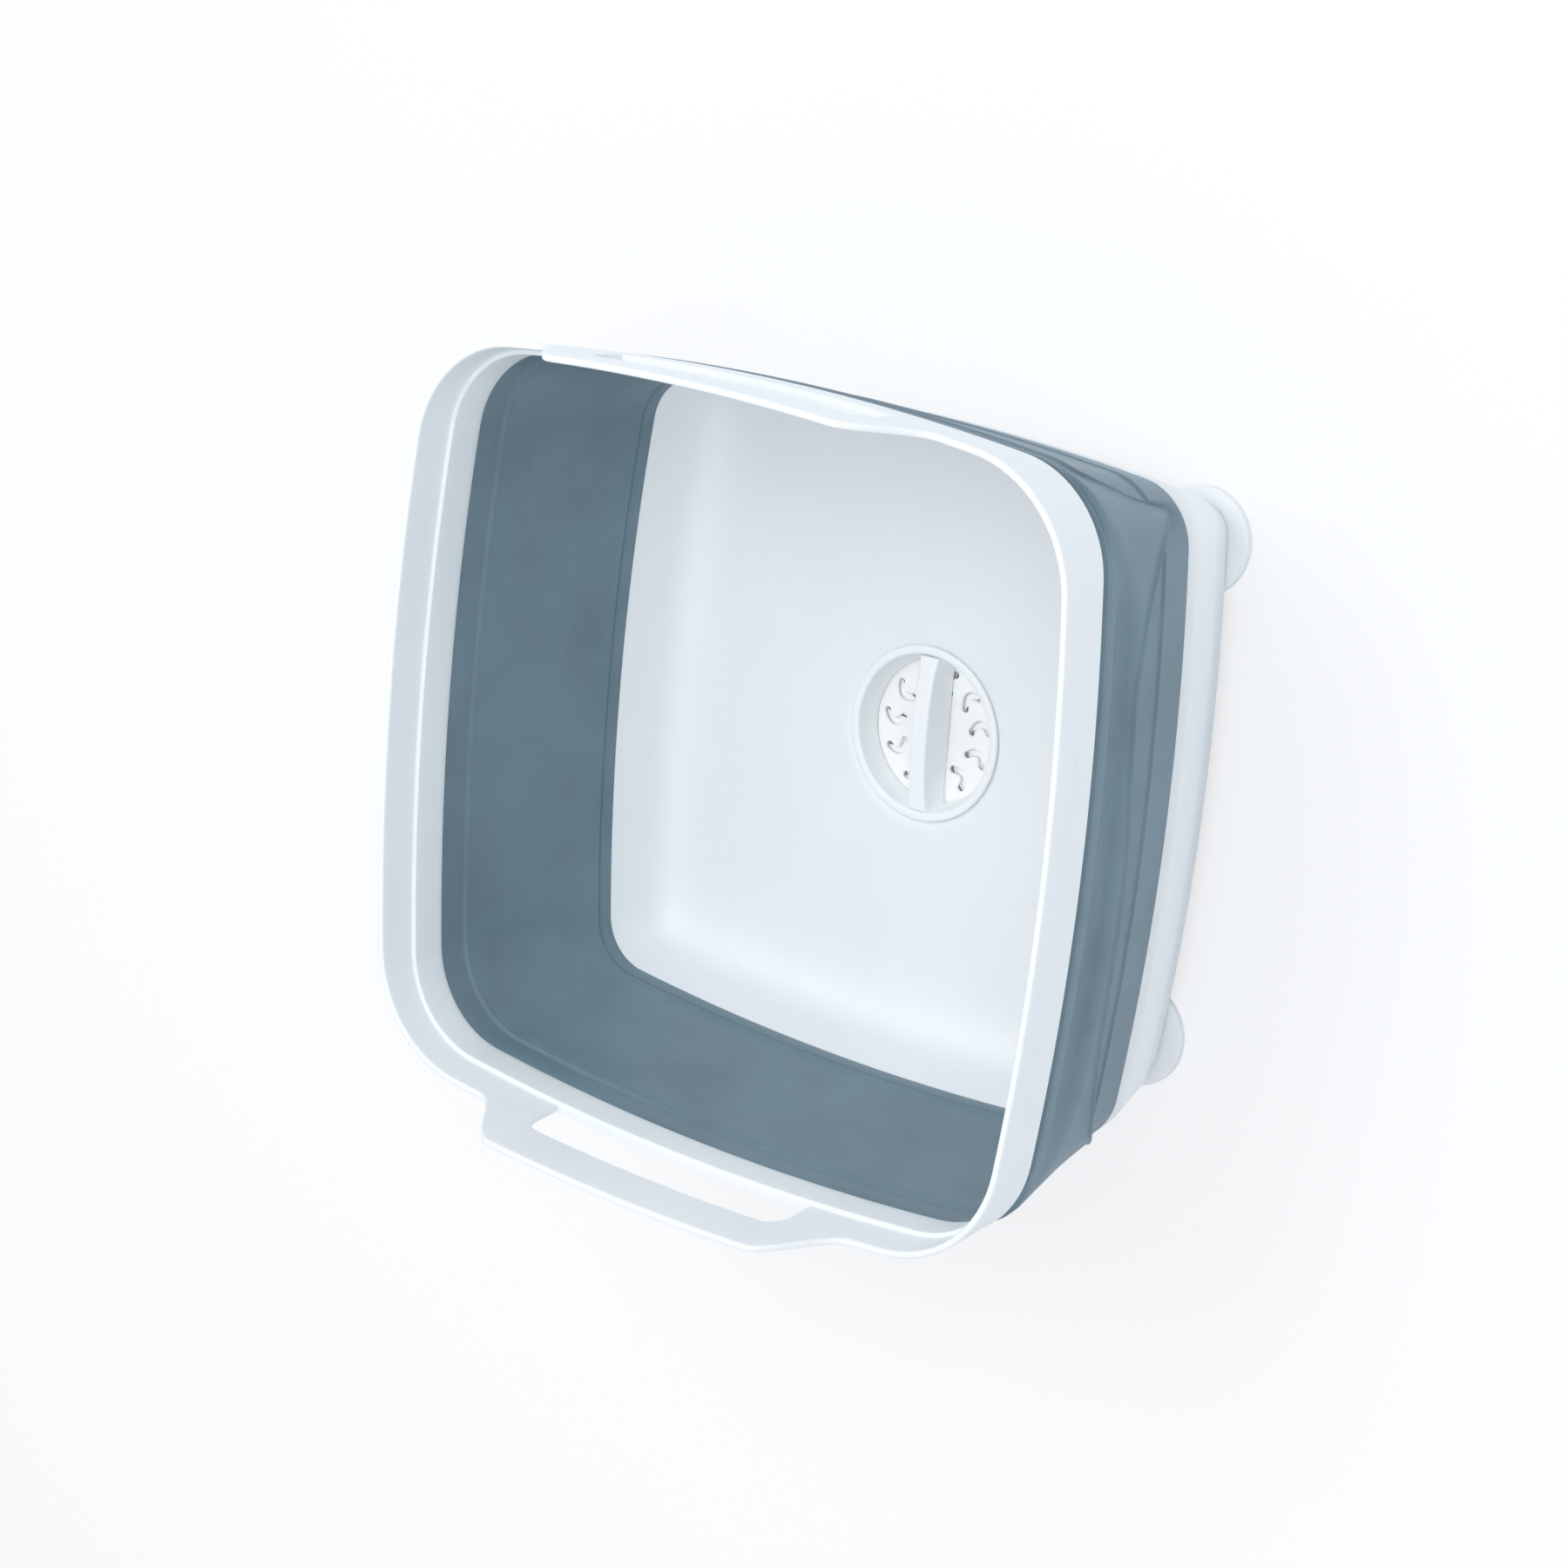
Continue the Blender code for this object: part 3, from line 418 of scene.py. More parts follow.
def combine(piece, mesh, operation, smooth_angle):
    """Cuts a bmesh out of a piece, or joins it on."""
    tool = new_piece(piece.name + "_tool", mesh)
    modifier = piece.modifiers.new("combine", "BOOLEAN")
    modifier.operation = operation
    modifier.solver = "EXACT"
    modifier.object = tool
    bpy.context.view_layer.update()
    evaluated = piece.evaluated_get(bpy.context.evaluated_depsgraph_get())
    data = bpy.data.meshes.new_from_object(evaluated)
    piece.modifiers.remove(modifier)
    old, piece.data = piece.data, data
    data.name = piece.name
    data.shade_smooth()
    data.set_sharp_from_angle(angle=smooth_angle)
    bpy.data.meshes.remove(old)
    bpy.data.meshes.remove(tool.data)


def dress(piece, material, body, slot, *nodes):
    """Gives a piece its material, its body and the CAD nodes that it stands for. The record's slot is not used."""
    piece.data.materials.clear()
    piece.data.materials.append(material)
    if body:
        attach(piece, body)
    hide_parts(*nodes)


# Shader nodes

class Wire:
    """A shader socket that takes part in Python's arithmetic."""

    def __init__(self, graph, socket):
        self.graph = graph
        self.socket = socket

    def math(self, operation, *values):
        return self.graph.node("ShaderNodeMath", {"operation": operation}, dict(enumerate(values)))

    def __add__(self, other):
        return self.math("ADD", self, other)

    def __radd__(self, other):
        return self.math("ADD", other, self)

    def __sub__(self, other):
        return self.math("SUBTRACT", self, other)

    def __rsub__(self, other):
        return self.math("SUBTRACT", other, self)

    def __mul__(self, other):
        return self.math("MULTIPLY", self, other)

    def __rmul__(self, other):
        return self.math("MULTIPLY", other, self)


class Graph:
    """The nodes of a material or a world."""

    def __init__(self, owner):
        owner.use_nodes = True
        self.tree = owner.node_tree

    def node(self, kind, settings=None, sockets=None, output=0):
        """A node with its settings made first and then its sockets given values or links."""
        made = self.tree.nodes.new(kind)
        for name, value in (settings or {}).items():
            setattr(made, name, value)
        for name, value in (sockets or {}).items():
            self.join(made.inputs[name], value)
        return Wire(self, made.outputs[output])

    def join(self, socket, value):
        if isinstance(value, Wire):
            self.tree.links.new(value.socket, socket)
        else:
            socket.default_value = value

    def place(self, scale=(1.0, 1.0, 1.0), turn=(0.0, 0.0, 0.0)):
        """Object coordinates, scaled and turned."""
        coordinates = self.node("ShaderNodeTexCoord", output="Object")
        return self.node("ShaderNodeMapping", {}, {"Vector": coordinates, "Rotation": turn, "Scale": scale})

    def noise(self, scale, detail, roughness, where=None):
        sockets = {"Vector": where or self.place(), "Scale": scale, "Detail": detail, "Roughness": roughness}
        return self.node("ShaderNodeTexNoise", {}, sockets)

    def between(self, value, low, high):
        """0 below low, 1 above high, smooth between."""
        sockets = {"Value": value, "From Min": low, "From Max": high}
        return self.node("ShaderNodeMapRange", {"interpolation_type": "SMOOTHSTEP"}, sockets)

    def mix(self, share, first, second):
        """A colour between two colours."""
        return self.node("ShaderNodeMix", {"data_type": "RGBA"}, {0: share, 6: first, 7: second}, output=2)

    def bump(self, height, distance, strength, normal=None):
        sockets = {"Height": height, "Distance": distance, "Strength": strength}
        if normal:
            sockets["Normal"] = normal
        return self.node("ShaderNodeBump", {}, sockets)


def shade(colour, factor):
    """A colour made lighter or darker, with full alpha."""
    return tuple(min(value * factor, 1.0) for value in colour) + (1.0,)


def new_material(name):
    """A material and the graph of its nodes."""
    material = bpy.data.materials.new(name)
    graph = Graph(material)
    return material, graph, graph.tree.nodes["Principled BSDF"].inputs


def dust(graph, scale, spread):
    """1 on small scattered specks, 0 elsewhere."""
    sockets = {"Vector": graph.place(), "Scale": scale}
    cell = graph.node("ShaderNodeTexVoronoi", {}, sockets, output="Distance")
    chance = graph.node("ShaderNodeTexVoronoi", {}, sockets, output="Color")
    picked = graph.node("ShaderNodeSeparateColor", {}, {"Color": chance}, output="Red")
    return graph.between(picked, 1 - spread, 1 - spread * 0.7) * (1 - graph.between(cell, 0.10, 0.22))


def moulded_plastic(name, colour, roughness, edge_height, edge_band, glow=0.3, reach=0.005):
    """Matt moulded polypropylene: fine grain, slight sink marks, faint scuffs, rubbed edges at one height, and light
    that goes a little way through it."""
    material, graph, shader = new_material(name)
    cloud = graph.noise(9.0, 3.0, 0.55)
    grain = graph.noise(1900.0, 2.0, 0.6)
    sink = graph.noise(38.0, 1.0, 0.4)
    long_scuffs = graph.noise(60.0, 3.0, 0.7, graph.place((1.0, 34.0, 1.0), (0.0, 0.0, 0.6)))
    cross_scuffs = graph.noise(60.0, 3.0, 0.7, graph.place((30.0, 1.0, 1.0), (0.0, 0.0, -0.4)))
    scuffs = graph.between(long_scuffs, 0.66, 0.74) + graph.between(cross_scuffs, 0.67, 0.75)
    patchy = graph.between(cloud, 0.42, 0.62)
    height = graph.node(
        "ShaderNodeSeparateXYZ", {}, {"Vector": graph.node("ShaderNodeTexCoord", output="Object")}, output="Z")
    rubbed = graph.between(height, edge_height - edge_band, edge_height) * graph.between(sink, 0.35, 0.6)
    specks = dust(graph, 330.0, 0.006)
    base = graph.mix(patchy, shade(colour, 0.985), shade(colour, 1.01))
    base = graph.mix(scuffs * patchy * 0.25, base, shade(colour, 0.95))
    base = graph.mix(rubbed * 0.3, base, shade(colour, 1.02))
    base = graph.mix(specks * 0.15, base, (0.50, 0.50, 0.48, 1.0))
    graph.join(shader["Base Color"], base)
    graph.join(shader["Roughness"], roughness + 0.05 * (cloud - 0.5) + 0.06 * (grain - 0.5) + 0.08 * scuffs * patchy)
    moulded = graph.bump(sink, 0.00025, 0.35)
    marked = graph.bump(scuffs * patchy, 0.00002, 0.5, moulded)
    graph.join(shader["Normal"], graph.bump(grain, 0.000045, 0.45, marked))
    shader["IOR"].default_value = 1.49
    shader["Subsurface Weight"].default_value = glow
    shader["Subsurface Radius"].default_value = (1.0, 1.0, 1.0)
    shader["Subsurface Scale"].default_value = reach
    return material


def soft_elastomer(name, colour):
    """Satin elastomer: mottled with handling, finely textured, with dust, threads of lint and small dark spots."""
    material, graph, shader = new_material(name)
    mottle = graph.noise(24.0, 3.0, 0.6)
    smear = graph.noise(9.0, 2.0, 0.5, graph.place((1.0, 1.0, 2.2), (0.3, 0.2, 0.5)))
    grain = graph.noise(1500.0, 2.0, 0.65)
    ripple = graph.noise(70.0, 2.0, 0.5, graph.place((1.0, 1.0, 0.35)))
    motes = dust(graph, 520.0, 0.02)
    dark_spots = dust(graph, 95.0, 0.006)
    lint = graph.noise(420.0, 1.0, 0.5, graph.place((1.0, 9.0, 1.0), (0.7, 0.5, 0.9)))
    threads = graph.between(lint, 0.80, 0.83)
    dusty = graph.between(mottle, 0.42, 0.66)
    base = graph.mix(graph.between(mottle, 0.30, 0.70), shade(colour, 0.90), shade(colour, 1.10))
    base = graph.mix(graph.between(smear, 0.45, 0.72) * 0.45, base, shade(colour, 1.16))
    base = graph.mix(grain * 0.10, base, shade(colour, 1.5))
    base = graph.mix((motes + threads) * dusty * 0.25, base, (0.50, 0.52, 0.54, 1.0))
    base = graph.mix(dark_spots * 0.7, base, (0.03, 0.035, 0.04, 1.0))
    graph.join(shader["Base Color"], base)
    graph.join(shader["Roughness"], 0.40 + 0.10 * (mottle - 0.5) + 0.08 * (grain - 0.5))
    waved = graph.bump(ripple, 0.00030, 0.30)
    graph.join(shader["Normal"], graph.bump(grain, 0.00005, 0.5, waved))
    shader["IOR"].default_value = 1.5
    shader["Specular IOR Level"].default_value = 0.38
    return material


def seal_rubber(name, colour):
    """Dull dark rubber with a dusting of talc."""
    material, graph, shader = new_material(name)
    talc = graph.noise(60.0, 3.0, 0.6)
    grain = graph.noise(2200.0, 2.0, 0.6)
    base = graph.mix(graph.between(talc, 0.4, 0.7), shade(colour, 0.9), shade(colour, 1.6))
    graph.join(shader["Base Color"], base)
    graph.join(shader["Roughness"], 0.62 + 0.15 * (talc - 0.5))
    graph.join(shader["Normal"], graph.bump(grain, 0.00005, 0.5))
    return material


# The rim

def rim_section(station, sizes):
    """The rim's section at a station: lower band, ledge, flared band, round lip and the stepped outside."""
    band, corner = sizes.band_half_width, sizes.band_corner
    outside = band + 0.0032
    lip_inner = LIP_HALF_WIDTH - sizes.lip_thickness
    lip_inner_corner = sizes.lip_corner - sizes.lip_thickness
    rows = soften([
        (band - 0.0002, corner, RIM_EDGE_INSIDE, 0.0006),
        (band, corner, sizes.ledge_height, 0.0007),
        (band + 0.0018, corner + 0.0020, sizes.ledge_height, 0.0007),
        (lip_inner, lip_inner_corner, sizes.lip_height, 0.0013),
        (LIP_HALF_WIDTH, sizes.lip_corner, sizes.lip_height, 0.0013),
        (outside + 0.0010, corner + 0.0052, sizes.ledge_height, 0.0008),
        (outside + 0.0002, corner + 0.0032, sizes.ledge_height - 0.0016, 0.0008),
        (outside, corner + 0.0032, RIM_EDGE_OUTSIDE, 0.0006),
    ])
    return [handle_lift(outline_place(station, half, around), height, sizes) for half, around, height in rows]


def handle_lift(flat, height, sizes):
    """Raises the upper band into a handle near the middle of the front and the rear, and leans it out."""
    low = sizes.ledge_height + 0.0007
    high = sizes.lip_height - 0.0014
    above = min(max((height - low) / (high - low), 0.0), 1.0)
    along = 1 - smooth_share(abs(flat.x), sizes.handle_top_half, sizes.handle_foot_half)
    end = smooth_share(abs(flat.y), 0.120, 0.140)
    reach = sizes.rear_lean if flat.y > 0 else -sizes.front_lean
    lean = reach * above * along * end
    return Vector((flat.x, flat.y + lean, height + sizes.handle_rise * above * along * end))


def slot_outline(sizes, grow):
    """The finger slot seen from the front, as (x, height) points: square at the ledge, round above."""
    steps, corner_steps = 60, 12
    half = sizes.slot_half + grow
    radius = sizes.slot_corner + grow
    low = sizes.ledge_height + 0.0002
    high = sizes.ledge_height + sizes.slot_height + grow
    points = [(-half + 2 * half * step / steps, low) for step in range(steps + 1)]
    for step in range(1, corner_steps + 1):
        angle = QUARTER_TURN * step / corner_steps
        points.append((half - radius * (1 - math.cos(angle)), high - radius * (1 - math.sin(angle))))
    across = half - radius
    points += [(across - 2 * across * step / steps, high) for step in range(1, steps)]
    for step in range(corner_steps, 0, -1):
        angle = QUARTER_TURN * step / corner_steps
        points.append((-half + radius * (1 - math.cos(angle)), high - radius * (1 - math.sin(angle))))
    return points


def slot_cutter(sizes, sign):
    """A cutter that follows the handle's bow and lean and flares at both faces."""
    foot = LIP_HALF_WIDTH - DEPTH_LOSS - 0.0040
    flare = 0.0027 + (sizes.rear_lean if sign > 0 else sizes.front_lean)
    levels = ((-0.0060, 0.0044), (-0.0020, 0.0004), (-0.0016, 0.0), (0.0016, 0.0), (0.0020, 0.0004), (0.0060, 0.0044))
    rows = []
    for depth, grow in levels:
        ring = []
        for x, height in slot_outline(sizes, grow):
            above = (height - sizes.ledge_height) / (sizes.lip_height + sizes.handle_rise - sizes.ledge_height)
            middle = foot + flare * above
            bow = SIDE_RADIUS - math.sqrt(SIDE_RADIUS ** 2 - x * x)
            ring.append(Vector((x, sign * (middle - bow + depth), height)))
        rows.append(ring)
    return skin(rows, closed=False)


class WASHBASIN_OT_rim(bpy.types.Operator):
    """Build the stiff rim with its ledge, its round lip and the two handles"""

    bl_idname = "washbasin.rim"
    bl_label = "Rim with Handles"

    def execute(self, context):
        sizes = context.scene.washbasin_rim
        stations = stations_round(26, 16, 90)
        rim = new_piece("rim_moulding", swept(stations, lambda station: rim_section(station, sizes)))
        for sign in (1, -1):
            combine(rim, slot_cutter(sizes, sign), "DIFFERENCE", smooth_angle=math.radians(32))
        plastic = moulded_plastic(
            "rim_moulded_plastic", sizes.colour, roughness=0.40, edge_height=sizes.lip_height, edge_band=0.0012)
        dress(rim, plastic, "rim", "rim_polypropylene", "rim_frame")
        return {"FINISHED"}


# The folding wall

def way_along(station):
    """How far a station is along the outline from the middle of the left or right side towards the rear or front."""
    side, corner, whole = 0.104, 0.060, 0.268
    _, _, stretch, share = station
    if stretch == "side":
        return side * share
    if stretch == "corner":
        return side + corner * share
    return whole - side * share


def wall_base(height):
    """The half width and the corner radius of the wall's outside before it swells."""
    top, top_half, top_corner = 0.1262, 0.1497, 0.0398
    share = (top - height) / (top - TRAY_EDGE_OUTSIDE)
    return top_half - 0.0140 * share, top_corner - 0.0148 * share


def wall_inside(sizes, corner_share, end_share):
    """Rows up the inside: the bead on the tray, its slit and lip, the plain wall, the ridge and the collar."""
    ridge = sizes.collar_height
    rows = [
        (0.13300, 0.0212, TRAY_EDGE_INSIDE + JOINT_GAP / 2, 0.0),
        (0.13290, 0.0213, 0.0478, 0.0004),
        (0.13290, 0.0214, 0.0506, 0.0008),
        (0.13345, 0.0220, 0.0527, 0.0006),
        (0.13405, 0.0226, 0.0535, 0.0002),
        (0.13330, 0.0219, 0.0542, 0.0003),
        (0.13380, 0.0226, 0.0554, 0.0006),
        (0.13520, 0.0241, 0.0580, 0.0015),
        (0.13745, 0.0266, 0.0690, 0.0),
        (0.13950, 0.0288, 0.0790, 0.0),
        (0.14145, 0.0308, 0.0890, 0.0),
        (0.14320, 0.0327, 0.0980, 0.0),
        (0.14475, 0.0345, 0.1070, 0.0),
        (0.14590, 0.0359, ridge - 0.0061, 0.0012),
        (0.14640, 0.0364, ridge - 0.0033, 0.0004),
        (0.14672, 0.0367, ridge - 0.0026, 0.0003),
        (0.14655, 0.0366, ridge - 0.0018, 0.0004),
        (0.14700, 0.0370, ridge - 0.0010, 0.0004),
        (0.14790, 0.0379, ridge, 0.0006),
        (0.14812, 0.0382, 0.1262, 0.0),
        (0.14830, 0.0385, RIM_EDGE_INSIDE - JOINT_GAP, 0.0),
    ]
    made = []
    for half, corner, height in soften(rows):
        low = smooth_share(height, 0.0545, 0.0600)
        pull = 0.0016 * corner_share * low * (1 - smooth_share(height, 0.066, 0.096))
        pull += 0.0003 * end_share * low * (1 - smooth_share(height, 0.106, 0.112))
        made.append((half - pull, corner, height))
    return made


def swell_rows(sizes, way, crest, corner_share, end_share):
    """Rows from below the ridge, over the hollow and the swell, to the fold's edge."""
    climb = smooth_share(way, 0.080, 0.122)
    _, tip, swell_height = follow(FOLD_EDGE, way)
    start, near = 0.1270, 0.0026
    heights = [start - (start - crest - near) * step / 26 for step in range(26)]
    heights += [crest + near * (1 - step / 7) for step in range(8)]
    rows = []
    for height in heights:
        half, corner = wall_base(height)
        share = (start - height) / (start - crest)
        rise = 1 - smooth_share(height, swell_height - 0.0050, swell_height + 0.0055)
        hollow = smooth_share(height, swell_height, swell_height + 0.0050) * (1 - smooth_share(height, 0.1185, 0.1225))
        stand = tip * (rise * (1 - climb) + share * climb)
        stand += 0.0016 * climb * (1 - end_share) * rise * (1 - share)
        stand -= sizes.hollow * hollow * (1 - climb)
        stand -= 0.0005 * corner_share * math.sin(math.pi * share)
        stand += 0.0010 * (1 - 0.6 * corner_share) * (1 - smooth_share(height, crest, crest + 0.0020))
        rows.append((half + stand, corner - sizes.fold_point * corner_share * share, height))
    return rows


def fold_rows(edge, crest, root_in):
    """Rows round the fold's edge and back under it to its root."""
    half, corner, _ = edge
    root_half, root_corner = wall_base(crest - FOLD_DEPTH)
    turns = 8
    rows = []
    for step in range(1, turns + 1):
        angle = math.pi * step / turns
        share = (1 - math.cos(angle)) / 2
        drop = FOLD_DEPTH * (0.5 * math.sin(angle / 2) + 0.5 * share)
        fall = share ** 1.6
        rows.append((
            half + (root_half - root_in - half) * fall, corner + (root_corner - corner) * fall, crest - drop))
    return rows


def crease_rows(crest, root_in):
    """Rows from the fold's root, over the crease, down to the foot on the tray's edge."""
    root = crest - FOLD_DEPTH
    foot = TRAY_EDGE_OUTSIDE + JOINT_GAP
    crease = min(0.0785, crest - 0.0035)
    span, below = root - crease - 0.0012, crease - 0.0024
    steps = [(root - span * step / 10, 0.0) for step in range(1, 11)]
    steps += [
        (crease + 0.0007, -0.00015), (crease + 0.0002, -0.00020), (crease - 0.0004, 0.00040),
        (crease - 0.0010, 0.00065), (crease - 0.0017, 0.00055),
    ]
    for step in range(11):
        height = below - (below - foot) * step / 10
        steps.append((height, 0.0005 * smooth_share(height, foot, crease)))
    depth = smooth_share(crest, 0.0824, 0.0860)
    fade_top = max(root, foot + 0.001)
    rows = []
    for height, step in steps:
        half, corner = wall_base(height)
        rows.append((half - root_in * smooth_share(height, foot, fade_top) + step * depth, corner, height))
    return rows + [(0.13545, 0.0247, foot)]


def wall_outside(sizes, way, drift, corner_share, end_share):
    """Rows down the outside: a groove and a ridge, the swell, the fold's edge and underside, a crease and the foot."""
    top = soften([
        (0.15030, 0.0405, RIM_EDGE_OUTSIDE - JOINT_GAP, 0.0),
        (0.14985, 0.0401, 0.1335, 0.0004),
        (0.14920, 0.0395, 0.1328, 0.0003),
        (0.14920, 0.0395, 0.1312, 0.0004),
        (0.15060, 0.0408, 0.1298, 0.0008),
        (0.14970, 0.0399, 0.1278, 0.0008),
    ])
    crest = sizes.fold_height + follow(FOLD_EDGE, way)[0] + drift
    root_in = 0.0005 + 0.0015 * corner_share * (1 - smooth_share(crest, 0.072, 0.086))
    rows = [tuple(row) for row in top[:-1]] + swell_rows(sizes, way, crest, corner_share, end_share)
    return rows + fold_rows(rows[-1], crest, root_in) + crease_rows(crest, root_in)


def wall_section(station, sizes):
    """The wall's section at a station: up the inside from the tray to the rim, then down the outside."""
    way = way_along(station)
    corner_share = smooth_share(way, 0.100, 0.128) * (1 - smooth_share(way, 0.138, 0.158))
    end_share = smooth_share(way, 0.134, 0.158)
    drift = station[0] * station[1] * 0.0040 * max(math.sin(math.pi * min(way / 0.120, 1.0)), 0.0)
    rows = wall_inside(sizes, corner_share, end_share) + wall_outside(sizes, way, drift, corner_share, end_share)
    places = []
    for half, corner, height in rows:
        flat = outline_place(station, half, corner)
        free = smooth_share(height, 0.058, 0.068) * (1 - smooth_share(height, 0.108, 0.117))
        spot = Vector((flat.x, flat.y, height))
        wave = noise.noise(spot * 22.0 + Vector((0.0, 0.3, 0.7))) + 0.5 * noise.noise(spot * 55.0)
        push = flat.normalized() * wave * sizes.waviness * free
        places.append(Vector((flat.x + push.x, flat.y + push.y, height)))
    return places


class WASHBASIN_OT_wall(bpy.types.Operator):
    """Build the one-piece folding wall between the rim and the tray"""

    bl_idname = "washbasin.wall"
    bl_label = "Folding Wall"

    def execute(self, context):
        sizes = context.scene.washbasin_wall
        stations = stations_round(34, 60, 30)
        mesh = swept(stations, lambda station: wall_section(station, sizes))
        wall = new_piece("folding_wall", mesh, smooth_angle=math.radians(60))
        nodes = ("wall_upper_collar", "wall_band_upper", "wall_band_middle", "wall_band_lower", "wall_lower_collar")
        dress(wall, soft_elastomer("wall_soft_elastomer", sizes.colour), None, "wall_elastomer", *nodes)
        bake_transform(wall)
        return {"FINISHED"}


# The tray and its feet

def tray_section(station, sizes):
    """The tray's section at a station: down the inside, across the floor to the hole, back below and up the skirt."""
    bend = sizes.half_width - 0.0012
    inner = bend - sizes.wall
    bend_corner = sizes.corner - 0.0027
    line = sizes.half_width - sizes.taper
    underside = sizes.floor_height - sizes.floor_thickness
    steepness = (TRAY_EDGE_INSIDE - sizes.floor_height) / (TRAY_EDGE_INSIDE - sizes.line_height)
    meeting = inner - (bend - line) * steepness
    meeting_corner = bend_corner - sizes.wall - (bend_corner - sizes.line_corner) * steepness
    dip = sizes.floor_height - sizes.floor_dip
    rows = [
        (inner, bend_corner - sizes.wall, TRAY_EDGE_INSIDE, 0.0, 0.0004),
        (meeting, meeting_corner, sizes.floor_height, 0.0, sizes.fillet_length),
    ]
    spread = ((0.090, 0.010, 0.0), (0.078, 0.018, 0.20), (0.060, 0.026, 0.65), (0.045, 0.028, 0.95))
    rows += [(half, corner, sizes.floor_height, share, 0.0) for half, corner, share in spread]
    rows += [
        (sizes.hole_radius + 0.0060, 0.028, sizes.floor_height, 1.0, 0.0),
        (sizes.hole_radius + 0.0044, 0.028, sizes.floor_height, 1.0, 0.0012),
        (sizes.hole_radius + 0.0022, 0.028, dip, 1.0, 0.0010),
        (sizes.hole_radius, 0.028, dip, 1.0, 0.0003),
        (sizes.hole_radius, 0.028, underside, 1.0, 0.0003),
    ]
    rows += [(half, corner, underside, share, 0.0) for half, corner, share in reversed(spread)]
    skirt_top = line - 0.0016
    skirt_low = skirt_top - 0.0040
    rows += [
        (skirt_low + 0.0011, sizes.line_corner - 0.0038, underside, 0.0, 0.0010),
        (skirt_low - 0.0022, sizes.line_corner - 0.0038, sizes.skirt_bottom, 0.0, 0.0006),
        (skirt_low, sizes.line_corner - 0.0016, sizes.skirt_bottom, 0.0, 0.0007),
        (skirt_top, sizes.line_corner - 0.0016, sizes.line_height - 0.0016, 0.0, 0.0006),
        (line, sizes.line_corner, sizes.line_height, 0.0, 0.0007),
        (bend, bend_corner, TRAY_EDGE_INSIDE, 0.0, 0.0048),
        (sizes.half_width, sizes.corner, TRAY_EDGE_OUTSIDE, 0.0, 0.0003),
        (sizes.half_width - 0.0006, sizes.corner - 0.0006, TRAY_EDGE_OUTSIDE - 0.0004, 0.0, 0.0002),
    ]
    places = []
    for half, corner, height, share in soften(rows):
        flat = outline_place(station, half, corner)
        flat = flat.lerp(flat.normalized() * half, share)
        places.append(Vector((flat.x, flat.y, height)))
    return places


class WASHBASIN_OT_tray(bpy.types.Operator):
    """Build the stiff tray with its fillet, its floor and the skirt below"""

    bl_idname = "washbasin.tray"
    bl_label = "Tray"

    def execute(self, context):
        sizes = context.scene.washbasin_tray
        mesh = swept(stations_round(28, 22, 28), lambda station: tray_section(station, sizes))
        tray = new_piece("tray_moulding", mesh)
        plastic = moulded_plastic(
            "tray_moulded_plastic", sizes.colour, roughness=0.42, edge_height=TRAY_EDGE_HEIGHT + 0.01, edge_band=0.001)
        dress(tray, plastic, "base", "tray_polypropylene", "tray")
        return {"FINISHED"}


class WASHBASIN_OT_feet(bpy.types.Operator):
    """Build the four round feet under the corners"""

    bl_idname = "washbasin.feet"
    bl_label = "Feet"

    def execute(self, context):
        plastic = bpy.data.materials["tray_moulded_plastic"]
        for node in sorted(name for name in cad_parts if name.startswith("foot_")):
            low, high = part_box(node)
            radius = (high.x - low.x) / 2
            spigot_radius, pad_top = 0.0050, 0.0040
            profile = soften([
                (0.0, high.z, 0.0),
                (spigot_radius, high.z, 0.0006),
                (spigot_radius, pad_top, 0.0003),
                (radius, pad_top, 0.0008),
                (radius, 0.0, 0.0012),
                (0.0150, 0.0, 0.0004),
                (0.0143, 0.0006, 0.0004),
                (0.0060, 0.0006, 0.0004),
                (0.0053, 0.0003, 0.0004),
                (0.0, 0.0003, 0.0),
            ])
            mesh = spun(profile, 72)
            middle = (low + high) / 2
            bmesh.ops.translate(mesh, verts=mesh.verts, vec=(middle.x, middle.y, 0.0))
            dress(new_piece(node + "_pad", mesh), plastic, "base", "tray_polypropylene", node)
        return {"FINISHED"}


# The drain

def slot_ring(sizes, turn, grow, height):
    """The points round one bowed slot at a height."""
    steps, cap = 12, 8
    half = sizes.slot_width / 2 + grow
    spine = []
    for step in range(steps + 1):
        share = step / steps
        radius = sizes.slot_inner + (sizes.slot_outer - sizes.slot_inner) * share
        angle = turn + sizes.slot_bulge * 4 * share * (1 - share)
        spine.append(Vector((radius * math.cos(angle), radius * math.sin(angle))))
    left, right = [], []
    for step, place in enumerate(spine):
        along = (spine[min(step + 1, steps)] - spine[max(step - 1, 0)]).normalized()
        across = Vector((-along.y, along.x)) * half
        left.append(place + across)
        right.append(place - across)

    def end(middle, along):
        angles = [QUARTER_TURN - math.pi * step / cap for step in range(1, cap)]
        return [middle + Matrix.Rotation(angle, 2) @ along * half for angle in angles]

    ring = left + end(spine[-1], (spine[-1] - spine[-2]).normalized())
    ring += right[::-1] + end(spine[0], (spine[0] - spine[1]).normalized())
    return [Vector((place.x, place.y, height)) for place in ring]


